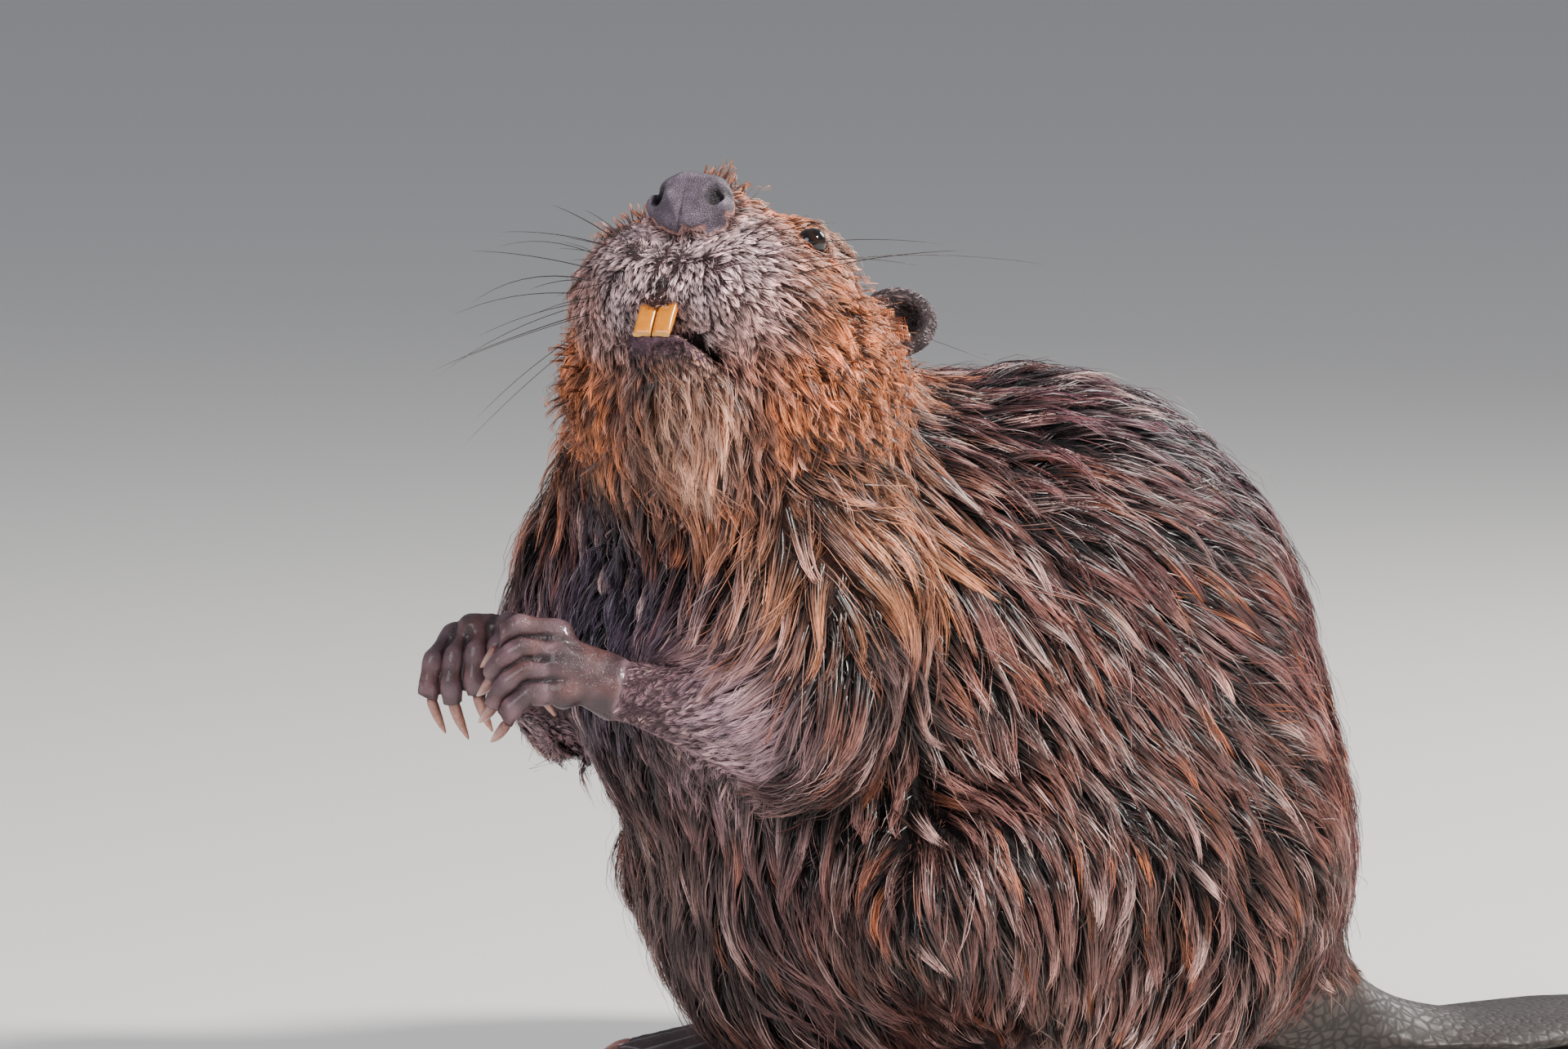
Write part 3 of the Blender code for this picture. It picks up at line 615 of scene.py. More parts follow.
def model_ears(skin):
    """A deeper cup in each ear."""
    skin.cup = np.zeros(len(skin.co))
    for side in SIDES:
        centre = box_centre(f"ear_{side}")
        rim = unit(HEAD @ np.array((-0.40, SIDES[side] * 0.62, 0.68)))
        cup = HEAD @ np.array((0.82, SIDES[side] * 0.57, 0.0))
        cup = unit(cup - cup @ rim * rim)
        at = (skin.co - centre) @ np.column_stack((rim, np.cross(cup, rim), cup))
        hollow = within(at, (-0.001, 0, 0.004), (0.0150, 0.0130, 0.0100)) * skin.part["ear"]
        skin.push(-np.ones((len(at), 1)) * cup, EAR_CUP * hollow)
        skin.cup = np.maximum(skin.cup, cut(2.5 * hollow) * (skin.normal @ cup > 0.2))


def finish_skin(obj, skin):
    skin.find_normals()
    skin.part = {group: cut(share) for group, share in skin.part.items()}
    set_vertices(obj.data, skin.co)
    skin.tree = tree_of(skin.co)


def unwrap(obj, skin):
    """Blender's own unwrap of the skin, and its three corners' places on it for each triangle."""
    obj.data.uv_layers.active = obj.data.uv_layers.new(name="OFBake")
    bpy.context.view_layer.objects.active = obj
    obj.select_set(True)
    bpy.ops.object.mode_set(mode="EDIT")
    bpy.ops.mesh.select_all(action="SELECT")
    bpy.ops.uv.smart_project(angle_limit=1.15, island_margin=0.004, scale_to_bounds=True)
    bpy.ops.object.mode_set(mode="OBJECT")
    obj.select_set(False)
    flat = np.empty(len(obj.data.loops) * 2, np.float32)
    obj.data.uv_layers["OFBake"].uv.foreach_get("vector", flat)
    skin.uv = flat.reshape(-1, 3, 2)


# ---------------------------------------------------------------- the lie of the coat
# a place on the left side, the way the hair lies there, and how far that reaches
LIES = (
    ((0.020, -0.095, 0.335), (0.10, 1.00, -0.10), 0.040),  # nape
    ((0.020, -0.030, 0.318), (0.15, 1.00, -0.15), 0.045),  # withers
    ((0.060, 0.010, 0.290), (0.25, 0.95, -0.45), 0.040),
    ((0.010, 0.060, 0.285), (0.00, 0.90, -0.45), 0.045),  # back
    ((0.020, 0.120, 0.220), (0.00, 0.50, -0.90), 0.045),
    ((0.010, 0.150, 0.120), (0.00, 0.05, -1.00), 0.045),  # rump
    ((0.000, 0.150, 0.060), (0.00, 0.80, -0.60), 0.030),  # root of the tail
    ((0.000, 0.190, 0.040), (0.00, 0.90, -0.40), 0.030),
    ((0.095, 0.010, 0.020), (0.05, -0.95, -0.20), 0.030),  # foot
    ((0.075, -0.135, 0.290), (0.25, 0.55, -0.80), 0.035),  # side of the neck
    ((0.100, -0.090, 0.275), (0.20, 0.70, -0.70), 0.035),
    ((0.108, -0.135, 0.225), (0.10, 0.35, -0.95), 0.035),  # shoulder
    ((0.120, -0.150, 0.175), (0.00, -0.30, -0.95), 0.030),  # elbow
    ((0.085, -0.190, 0.180), (-0.55, -0.80, 0.05), 0.030),  # forearm
    ((0.110, -0.060, 0.240), (0.10, 0.65, -0.75), 0.040),
    ((0.118, 0.000, 0.245), (0.05, 0.80, -0.60), 0.040),
    ((0.125, -0.070, 0.180), (0.00, 0.30, -0.95), 0.040),  # flank
    ((0.120, 0.010, 0.195), (0.00, 0.55, -0.80), 0.040),
    ((0.130, -0.030, 0.165), (0.05, 0.75, -0.60), 0.035),  # thigh
    ((0.130, -0.040, 0.110), (0.05, 0.35, -0.95), 0.035),
    ((0.125, 0.050, 0.165), (0.00, 0.90, -0.45), 0.035),
    ((0.115, 0.090, 0.130), (0.00, 0.55, -0.85), 0.035),
    ((0.120, -0.100, 0.085), (0.05, 0.10, -1.00), 0.035),  # knee
    ((0.100, 0.090, 0.090), (0.00, 0.30, -0.95), 0.040),
    ((0.110, 0.010, 0.040), (0.10, -0.30, -0.90), 0.035),  # shank
    ((0.045, -0.195, 0.270), (-0.10, -0.05, -1.00), 0.035),  # throat
    ((0.030, -0.205, 0.215), (-0.15, 0.00, -1.00), 0.035),  # chest
    ((0.030, -0.175, 0.120), (0.10, 0.10, -1.00), 0.045),  # belly
    ((0.030, -0.130, 0.040), (0.10, 0.50, -0.80), 0.040),
)


def head_lie(skin):
    """Back from the nose, outwards round the muzzle, and hanging down the cheeks and chin."""
    at = in_head(skin.co)
    around = at * np.array((0, 1, 1)) + np.array((0, 0, 0.022))
    away = unit(around) * ease(np.linalg.norm(around, axis=1) / 0.03)[:, None]
    lie = (np.array((-1, 0, 0)) + 0.75 * away) @ HEAD.T
    behind = ease((-at[:, 0] - 0.035) / 0.05) * ease((0.010 - at[:, 2]) / 0.05)
    lie = lie + behind[:, None] * 0.75 * DOWN
    chin = within(at, (-0.040, 0, -0.105), (0.060, 0.050, 0.050))
    lip = within(at, (-0.012, 0, -0.050), (0.040, 0.045, 0.030))
    return lie + (2.2 * chin + 0.7 * lip)[:, None] * DOWN


def set_lie(skin):
    """The way the hair lies at each vertex, flat on the skin, with some unrest in it."""
    total = np.zeros_like(skin.co)
    for place, way, reach in LIES:
        for side in SIDES.values():
            turn = np.array((side, 1, 1))
            gap = distance(skin.co, np.array(place) * turn) / reach
            total += np.exp(-0.5 * gap**2)[:, None] * unit(way) * turn
    total = unit(total + 1e-5 * DOWN)
    head = cut(sum(skin.part[group] for group in ("head", "lower_jaw", "nose", "ear")))
    total = skin.spread(mix(total, unit(head_lie(skin)), skin.spread(head, 25)), 6)
    total = unit(total - (total * skin.normal).sum(1)[:, None] * skin.normal)
    twist = (0.26 * waves(skin.co, 0.060, 31) + 0.16 * waves(skin.co, 0.022, 32)) * (1 - 0.7 * head)
    skin.lie = unit(total + twist[:, None] * np.cross(skin.normal, total))


# ---------------------------------------------------------------- markings, with painted light and shade
# group: the colour of its hair at the root and at the tip
GROUP_TINTS = {
    "trunk": ((0.060, 0.030, 0.034), (0.47, 0.29, 0.28)),
    "neck": ((0.22, 0.11, 0.08), (0.84, 0.54, 0.38)),
    "head": ((0.28, 0.14, 0.085), (1.00, 0.61, 0.39)),
    "lower_jaw": ((0.16, 0.09, 0.08), (0.74, 0.51, 0.42)),
    "nose": ((0.37, 0.32, 0.375), (0.37, 0.32, 0.375)),
    "ear": ((0.17, 0.13, 0.14), (0.54, 0.46, 0.48)),
    "upper_arm": ((0.060, 0.034, 0.036), (0.54, 0.40, 0.40)),
    "forearm": ((0.26, 0.18, 0.20), (0.84, 0.69, 0.73)),
    "hand": ((0.25, 0.17, 0.19), (0.25, 0.17, 0.19)),
    "thigh": ((0.060, 0.032, 0.032), (0.49, 0.33, 0.305)),
    "shank": ((0.10, 0.062, 0.058), (0.46, 0.33, 0.30)),
    "foot": ((0.25, 0.19, 0.195), (0.25, 0.19, 0.195)),
    "tail": ((0.21, 0.18, 0.17), (0.21, 0.18, 0.17)),
}
# on the head, with both sides alike: a place, how far it reaches, its colour at the root and tip, and its strength
HEAD_TINTS = (
    ((-0.105, 0.010, 0.022), (0.080, 0.052, 0.044), (0.15, 0.085, 0.075), (0.50, 0.35, 0.30), 1.8),  # crown
    ((-0.064, 0.030, 0.014), (0.036, 0.020, 0.020), (0.18, 0.11, 0.10), (0.56, 0.42, 0.38), 1.2),  # brow
    ((-0.026, 0.012, -0.034), (0.046, 0.050, 0.046), (0.20, 0.13, 0.14), (1.00, 0.86, 0.87), 2.2),  # muzzle: pale fur, its tips brightened further as painted light
    ((-0.030, 0.000, 0.018), (0.034, 0.034, 0.014), (0.30, 0.15, 0.09), (0.90, 0.55, 0.36), 1.3),  # bridge
    ((-0.050, 0.044, -0.004), (0.026, 0.022, 0.020), (0.34, 0.22, 0.18), (0.94, 0.74, 0.65), 1.4),  # round the eye
    ((-0.105, 0.050, -0.002), (0.034, 0.026, 0.022), (0.36, 0.18, 0.10), (0.98, 0.63, 0.38), 1.2),  # before the ear
    ((-0.105, 0.045, -0.060), (0.040, 0.040, 0.036), (0.34, 0.20, 0.14), (1.00, 0.74, 0.57), 1.3),  # jowl
    ((-0.075, 0.034, -0.108), (0.040, 0.030, 0.030), (0.09, 0.05, 0.05), (0.40, 0.27, 0.23), 1.3),  # painted shade under the jaw
    ((-0.014, 0.000, -0.074), (0.014, 0.022, 0.009), (0.14, 0.09, 0.11), (0.42, 0.30, 0.34), 1.8),  # lower lip
    ((-0.012, 0.000, -0.036), (0.024, 0.0042, 0.034), (0.20, 0.15, 0.17), (0.60, 0.49, 0.52), 1.8),  # under the nose
)
# on the head, on one side only: painted light on the chin's pale fur and painted shade beside it, as light from one
# side leaves them
ONE_SIDED_LIGHT_AND_SHADE = (
    ((-0.045, 0.009, -0.092), (0.036, 0.024, 0.036), (0.42, 0.25, 0.18), (1.00, 0.78, 0.67), 2.2),  # chin: painted light over its pale fur
    ((-0.050, -0.030, -0.106), (0.042, 0.022, 0.036), (0.05, 0.03, 0.03), (0.28, 0.18, 0.17), 1.8),  # painted shade beside the chin
)
# on the body, with both sides alike
BODY_TINTS = (
    ((0.090, -0.130, 0.255), (0.070, 0.070, 0.055), (0.22, 0.12, 0.08), (0.95, 0.63, 0.45), 1.5),  # collar
    ((0.000, -0.095, 0.335), (0.075, 0.070, 0.050), (0.11, 0.065, 0.06), (0.46, 0.31, 0.27), 1.7),  # nape
    ((0.115, -0.070, 0.205), (0.060, 0.075, 0.075), (0.075, 0.038, 0.034), (0.64, 0.39, 0.32), 1.1),  # flank
    ((0.000, 0.050, 0.300), (0.130, 0.170, 0.120), (0.038, 0.020, 0.030), (0.345, 0.20, 0.245), 1.8),  # back
    ((0.110, 0.090, 0.120), (0.070, 0.080, 0.110), (0.070, 0.036, 0.032), (0.50, 0.30, 0.255), 1.1),  # hip
    ((0.000, -0.170, 0.100), (0.090, 0.070, 0.100), (0.13, 0.09, 0.09), (0.44, 0.34, 0.33), 1.2),  # belly
    ((0.010, -0.200, 0.285), (0.066, 0.066, 0.055), (0.055, 0.030, 0.032), (0.32, 0.21, 0.20), 1.8),  # throat: dark fur, darkened further as painted shade under the chin
    ((0.010, -0.220, 0.215), (0.095, 0.070, 0.085), (0.075, 0.058, 0.080), (0.40, 0.335, 0.41), 2.0),  # chest
)
PELT_TINT = ((0.12, 0.07, 0.065), (0.46, 0.31, 0.27))  # at the root of the tail and on the heels
WRIST_TINT = ((0.26, 0.18, 0.20), (0.50, 0.385, 0.42))
# painted shade in the hollow of each ear
EAR_CUP_SHADE = ((0.08, 0.055, 0.06), (0.16, 0.12, 0.13))
LIT = (0.98, 0.80, 0.77)  # of the locks that catch the light
GOLD = (0.80, 0.44, 0.22)
# a place, how far it reaches, and how far it keeps gold locks away
COLD_ON_HEAD = ((-0.018, 0.008, -0.034), (0.06, 0.06, 0.06), 3)
COLD_ON_CHEST = ((0.0, -0.225, 0.215), (0.11, 0.08, 0.10), 2)
COLD_ON_BODY = (((0.0, 0.05, 0.29), (0.13, 0.17, 0.13), 1.2), ((0.05, -0.10, 0.06), (0.12, 0.16, 0.12), 1))


def wrist_shares(skin):
    """How near the hair of the forearm is to each hand."""
    gaps = [distance(skin.co, box_centre(f"hand_{side}")) for side in SIDES]
    return [ease((0.080 - gap) / 0.034) * skin.part["forearm"] for gap in gaps]


def coat_tints_and_painted_light(skin):
    """The hair's root and tip colours over the skin, with painted light and shade, and how many of its locks may be
    gold.
    """
    roots, tips = np.zeros_like(skin.co), np.zeros_like(skin.co)
    total = sum(skin.part.values())
    for group, (root, tip) in GROUP_TINTS.items():
        share = (skin.part[group] / total)[:, None]
        roots += share * colour(*root)
        tips += share * colour(*tip)

    def paint(tints, share):
        return mix(roots, colour(*tints[0]), share), mix(tips, colour(*tints[1]), share)

    ragged = np.column_stack([waves(skin.co, 0.020, seed) for seed in (41, 42, 43)])
    on_body = fold(skin.co, 0) + 0.010 * ragged
    on_face = fold(in_head(skin.co), 1) + 0.0025 * ragged
    one_sided = in_head(skin.co) + 0.0025 * ragged
    face = skin.spread(skin.part["head"] + skin.part["lower_jaw"], 10)
    skin.furred = furred_root(skin)
    furred = 1 - sum(skin.part[group] for group in (*BARE, "ear"))
    roots, tips = paint(PELT_TINT, skin.furred)
    tables = (BODY_TINTS, on_body, 1 - face), (HEAD_TINTS, on_face, face), (ONE_SIDED_LIGHT_AND_SHADE, one_sided, face)
    for table, places, where in tables:
        for place, reach, root, tip, strength in table:
            share = cut(within(places, place, reach) * strength) * cut(where * furred)
            roots, tips = paint((root, tip), share)
    for wrist in wrist_shares(skin):
        roots, tips = paint(WRIST_TINT, wrist)
    # painted shade in the ears' cups
    roots, tips = paint(EAR_CUP_SHADE, skin.cup)
    mottle = 1 + 0.20 * waves(skin.co, 0.045, 3) + 0.10 * waves(skin.co, 0.013, 4)
    muzzle = cut(3 * within(on_face, (-0.022, 0.010, -0.036), (0.050, 0.048, 0.050)))
    mottle += 0.22 * muzzle * waves(skin.co, 0.008, 5)
    # painted shade: the coat darker along the furrow between flank and haunch
    mottle = (mottle * (1 - 0.45 * haunch_fold(skin.co)))[:, None]
    skin.root_tint, skin.tip_tint = roots * mottle, tips * mottle
    cold = 0
    for places, (place, reach, strength) in (
        (skin.co, COLD_ON_CHEST),
        (on_face, COLD_ON_HEAD),
        *((on_body, row) for row in COLD_ON_BODY),
    ):
        cold = cold + strength * within(places, place, reach)
    skin.warm = np.clip(1 - cold - skin.part["ear"] - skin.part["forearm"], 0.12, 1)


def skin_tints(skin):
    """The skin's colours: the roots' colour darkened as painted shade of the coat where it is furred, bare and
    modelled elsewhere, with painted light and shade in its creases, nostrils and mouth.
    """
    bare = cut(sum(skin.part[group] for group in BARE) - skin.furred)
    # painted shade under the coat: the roots' colour darkened where the skin is furred
    tints = mix(skin.root_tint * 0.8, skin.tip_tint, bare)
    worn = skin.part["hand"] * ease(waves(skin.co, 0.010, 8) * 0.6 + 0.35)
    # pale dry patches on the nose, partly painted glints of light
    dry_and_glints = skin.part["nose"] * ease(waves(skin.co, 0.006, 9) * 0.7 + 0.2)
    for share, tint in (
        (0.6 * worn, (0.40, 0.25, 0.24)),
        # painted highlight on the knuckles
        (0.50 * skin.knuckle, (0.50, 0.38, 0.41)),
        # painted shade in the creases between the fingers
        (0.9 * skin.crease, (0.09, 0.05, 0.06)),
        (0.55 * dry_and_glints, (0.57, 0.51, 0.57)),
        # painted shade in the nostrils
        (0.92 * skin.nostril, (0.07, 0.05, 0.06)),
        # painted shade in the slot between the lips
        (cut(1.6 * skin.mouth), (0.10, 0.05, 0.05)),
        (0.9 * skin.lower_lip, (0.27, 0.19, 0.23)),
        (0.9 * skin.lid, (0.10, 0.07, 0.07)),
    ):
        tints = mix(tints, colour(*tint), share)
    return tints


# ---------------------------------------------------------------- the coat
# a region: its hair's length, how high that stands, a strand's width, and how thick it grows; 0 changes nothing
HAIR = (
    ("body", 0.046, 0.0090, 0.00036, 1.0),
    ("thigh", 0.042, 0, 0, 0),
    ("shank", 0.024, 0.0050, 0, 0),
    ("throat", 0.036, 0.0095, 0, 1.3),
    ("chest", 0.017, 0.0075, 0, 2.0),
    ("head", 0.020, 0.0050, 0.00026, 4.0),
    ("chin", 0.039, 0.0090, 0, 0),
    ("top", 0.011, 0.0026, 0, 6.5),
    ("jowl", 0.032, 0.0070, 0, 0),
    ("muzzle", 0.0058, 0.0018, 0.00020, 14.0),
    ("round_nose", 0.0075, 0.0036, 0, 0),
    ("parting", 0.0032, 0.0006, 0, 0),
    ("lower_lip", 0.0014, 0.0004, 0.00017, 22.0),
    ("round_eye", 0.0042, 0.0010, 0, 0),
    ("by_eye", 0, 0, 0.00019, 16.0),
    ("ear", 0.0030, 0.0007, 0.00020, 14.0),
    ("forearm", 0.0120, 0.0010, 0.00021, 9.0),
    ("wrist", 0.0040, 0.0005, 0.00017, 16.0),
    ("tail_root", 0.024, 0.0030, 0, 0),
    ("heel", 0.012, 0.0016, 0, 0),
    ("by_bare_skin", 0.0040, 0.0005, 0.00020, 0),
)
LEAST_THICK = 0.15  # under which no hair grows


class Fields:
    """What the coat needs to know at each vertex of the skin: how thick it grows, how long, how high and how wide."""

    def __init__(self, skin):
        part, at = skin.part, in_head(skin.co)
        head = cut(part["head"] + part["lower_jaw"])
        eye = sum(within(skin.co, box_centre(f"eye_{side}"), (0.020,) * 3) for side in SIDES)
        by_bare = skin.spread(cut(part["hand"] + part["foot"] + part["tail"] - skin.furred), 8)
        muzzle = cut(within(fold(at, 1), (-0.018, 0.008, -0.034), (0.052, 0.048, 0.048)) * 2.4) * head
        chest = cut(2 * within(skin.co, (0, -0.225, 0.215), (0.09, 0.065, 0.085))) * (1 - head)
        throat = cut(part["neck"] + within(skin.co, (0, -0.20, 0.26), (0.08, 0.06, 0.06)))
        regions = {
            "thigh": part["thigh"],
            "shank": part["shank"],
            "throat": throat,
            "chest": chest,
            "head": head,
            "chin": cut(within(at, (-0.045, 0, -0.095), (0.045, 0.035, 0.035)) * 1.6),
            "top": cut(within(at, (-0.060, 0, 0.012), (0.085, 0.065, 0.040)) * 1.8) * head,
            "jowl": cut(4 * skin.spread(head, 50) * skin.spread(part["neck"] + part["trunk"], 50)),
            "muzzle": muzzle,
            "round_nose": cut(2.5 * skin.spread(part["nose"], 40)) * (1 - part["nose"]),
            "parting": skin.groove,
            "lower_lip": skin.lower_lip,
            "round_eye": eye * 1.4,
            "by_eye": eye,
            "ear": part["ear"],
            "forearm": part["forearm"],
            "wrist": np.maximum(*wrist_shares(skin)),
            "tail_root": skin.furred * part["tail"],
            "heel": skin.furred * part["foot"],
            "by_bare_skin": by_bare * 2,
        }
        fields = []
        for column in range(1, 5):
            total = np.full(len(skin.co), float(HAIR[0][column]))
            for row in HAIR[1:]:
                if row[column]:
                    total = mix(total, row[column], cut(regions[row[0]]))
            fields.append(skin.spread(total, 4))
        self.length, self.rise, self.width, self.thick = fields
        bare = np.maximum(cut(by_bare * 1.6 - 0.3), cut((part["nose"] - 0.25) / 0.4))
        bare = np.maximum(bare, cut(1.5 * skin.lid + cut(2 * skin.mouth - 0.6) + skin.nostril))
        self.thick *= 1 - bare
        self.thick[(bare > 0.6) | (self.thick < LEAST_THICK)] = 0
        face = cut(head + part["ear"] + part["forearm"] + part["hand"])
        self.kinds = {"all": self.thick, "body": self.thick * (1 - face), "face": self.thick * face}
        self.curl = 0.0004 + 0.0013 * chest
        self.set_spikes(skin, at, head, throat, bare)

    def set_spikes(self, skin, at, head, throat, bare):
        """Tufts on the bridge of the nose, down the cheeks, before the ears, and a few on the throat."""
        ring = ridge(at[:, 0] + 0.020, 0.007) * ease((at[:, 2] - 0.004) / 0.006) * head
        cheek = ridge(np.abs(at[:, 1]) - 0.066, 0.018) * ease((-0.040 - at[:, 0]) / 0.02) * head
        cheek = cheek * ease((0.005 - at[:, 2]) / 0.02)
        ruffled = cut(2 * within(at, (-0.030, -0.037, -0.004), (0.020, 0.016, 0.018)))
        before_ear = HEAD @ np.array((0.016, 0, -0.004))
        tufted = [within(skin.co, box_centre(f"ear_{side}") + before_ear, (0.018,) * 3) for side in SIDES]
        tufted = np.maximum(*tufted)
        spikes = 5.0 * tufted * (1 - skin.part["ear"]) + 6.0 * ring + 1.4 * cheek + 4.0 * ruffled
        spikes = (spikes + 0.25 * throat * (1 - head)) * (1 - bare)
        self.kinds["spikes"] = np.where(spikes > 0.05, spikes, 0)
        self.spike_length = 0.013 + 0.006 * ring + 0.004 * tufted


class Roots:
    """Places on the skin where hairs grow, with the skin's fields read there."""

    def __init__(self, skin, fields, thick, count, source):
        a, b, c = (skin.co[skin.tris[:, i]] for i in range(3))
        area = np.linalg.norm(np.cross(b - a, c - a), axis=1) / 2
        weight = np.cumsum(area * thick[skin.tris].min(axis=1))
        face = np.searchsorted(weight, source.random(count) * weight[-1])
        one, two = source.random(count), source.random(count)
        far = one + two > 1
        one[far], two[far] = 1 - one[far], 1 - two[far]
        shares = np.column_stack((1 - one - two, one, two))

        def read(values):
            return np.einsum("ni,ni...->n...", shares, values[skin.tris[face]])

        self.co, self.normal = read(skin.co), unit(read(skin.normal))
        for name in ("length", "rise", "width", "curl", "spike_length"):
            setattr(self, name, read(getattr(fields, name)))
        self.root_tint, self.tip_tint = read(skin.root_tint), read(skin.tip_tint)
        self.warm, self.shine = read(skin.warm), 1 - read(cut(1.5 * skin.part["ear"]))
        self.uv = np.einsum("ni,nij->nj", shares, skin.uv[face])
        self.vertex = skin.tris[face][np.arange(count), shares.argmax(axis=1)]


GUIDES_JOINED = 7  # in one wet lock
HEADING_KEPT, HEADING_TURNED = 0.55, 0.45  # from step to step: kept, and turned to the lie of the coat


def run_guides(skin, roots, steps, source, scatter):
    """Each guide's path over the skin, with a normal and a side at every step: arrays of steps + 1 rows."""
    place, near = roots.co, roots.vertex
    heading = skin.lie[near]
    twist = source.normal(0, scatter, len(place))[:, None]
    heading = unit(heading + twist * np.cross(skin.normal[near], heading))
    points, normals = [place], [roots.normal]
    for _ in range(steps):
        normal = normals[-1]
        wanted = skin.lie[near] + twist * np.cross(normal, skin.lie[near])
        heading = unit(HEADING_KEPT * heading + HEADING_TURNED * wanted)
        heading = unit(heading - (heading * normal).sum(1)[:, None] * normal)
        place = place + heading * (roots.length / steps)[:, None]
        near = np.array([skin.tree.find(point)[1] for point in place])
        normal = skin.normal[near]
        place = place - normal * ((place - skin.co[near]) * normal).sum(1)[:, None]
        points.append(place)
        normals.append(unit(0.6 * normal + 0.4 * normals[-1]))
    points, normals = np.stack(points), np.stack(normals)
    ahead = unit(np.gradient(points, axis=0))
    return points, normals, unit(np.cross(normals, ahead))


def nearest_rows(places, wanted):
    """The row of the place nearest to each one wanted."""
    tree = tree_of(places)
    return np.array([tree.find(point)[1] for point in wanted])


def gather(points, source, share):
    """Draws neighbouring guides together towards their tips, so that wet locks join."""
    count = points.shape[1]
    leaders = source.choice(count, max(count // GUIDES_JOINED, 1), replace=False)
    leader = leaders[nearest_rows(points[0][leaders], points[0])]
    along = np.linspace(0, 1, len(points))[:, None, None] ** 1.6
    return points + (points[:, leader] - points) * share * along


def at_share(rows, share):
    """Reads rows, spaced evenly from 0 to 1, at one share for each column."""
    place = cut(share) * (len(rows) - 1)
    low = np.minimum(place.astype(int), len(rows) - 2)
    part, column = (place - low)[:, None], np.arange(rows.shape[1])
    return rows[low, column] * (1 - part) + rows[low + 1, column] * part


PATCH = 0.003  # of a strand on the skin's unwrap
SPIKE_LEAN = 0.6  # how far a spike runs along the skin, for its length
LOWEST_HAIR = 0.0005  # over the floor
# what a layer's own look doesn't say
USUAL = {
    "length": 1.0,  # times the length of the hair that grows there
    "longest": 1,
    "rise": 1.0,  # times its rise
    "lift": 0,  # more rise, times the length of the lock
    "width": 1.0,
    "tip": 1.0,  # how far the tips take their own colour
    "curl": 1.0,
    "closing": 1.0,  # how late along it a lock closes up
    "bunch": 1,  # how far apart a lock's strands start, times the gaps between their roots
}
# pull: how far a lock's strands close up at its tip; stray: the share of strands that don't; scatter: how far the
# guides leave the lie; gather: how far they join; lit and gold: the shares of locks in those tints
LAYERS = {
    "under": dict(kind="all", count=90000, per_lock=7, steps=2, length=0.30, longest=0.013, rise=0.50, width=1.45,
                  pull=0.55, stray=0.10, scatter=0.50, gather=0.10, tip=0.32, curl=2.0, lit=0.03, gold=0.03, seed=5),
    "guard": dict(kind="body", count=84000, per_lock=16, steps=4, pull=0.93, stray=0.06, scatter=0.20, gather=0.50,
                  closing=0.88, lit=0.12, gold=0.10, seed=6),
    "face": dict(kind="face", count=104000, per_lock=13, steps=3, pull=0.80, stray=0.10, scatter=0.26, gather=0.35,
                 closing=1.1, lit=0.12, gold=0.24, seed=9),
    "loose": dict(kind="all", count=10000, per_lock=2, steps=4, length=1.05, rise=1.25, width=0.75, pull=0.30,
                  stray=0.20, scatter=0.45, gather=0.00, tip=1.1, curl=2.5, lit=0.30, gold=0.30, seed=7),
    "spikes": dict(kind="spikes", count=8000, per_lock=8, steps=3, rise=0.30, lift=1.25, width=0.95, pull=0.98,
                   stray=0.01, scatter=0.45, gather=0.10, curl=0.15, closing=0.75, bunch=0.22, lit=0.05, gold=0.70,
                   seed=8),
}
# the least and most that a lock, or a strand in it, has of its layer's own measure
GUIDE_LENGTHS, LOCK_RISES, STRAND_REACHES, STRAND_RISES = (0.70, 1.20), (0.45, 1.15), (0.70, 1.0), (0.85, 1.12)
LOCK_TONE, STRAND_TONE = (-0.05, 0.40), (0, 0.18)  # the middle and the spread of their brightness
LIT_STRENGTHS, GOLD_STRENGTHS = (0.25, 0.7), (0.2, 0.7)
PULLS = (0.88, 1.0)
STRAY_PULL, STRAY_RISE = 0.2, 1.35
ROLL = 0.55  # radians that a strand's flat side is turned by, as a rule
ROOT_DEPTH = 0.0004
APART = 0.003  # how far over the skin strands look for their lock, so that facing sides of a fold stay apart


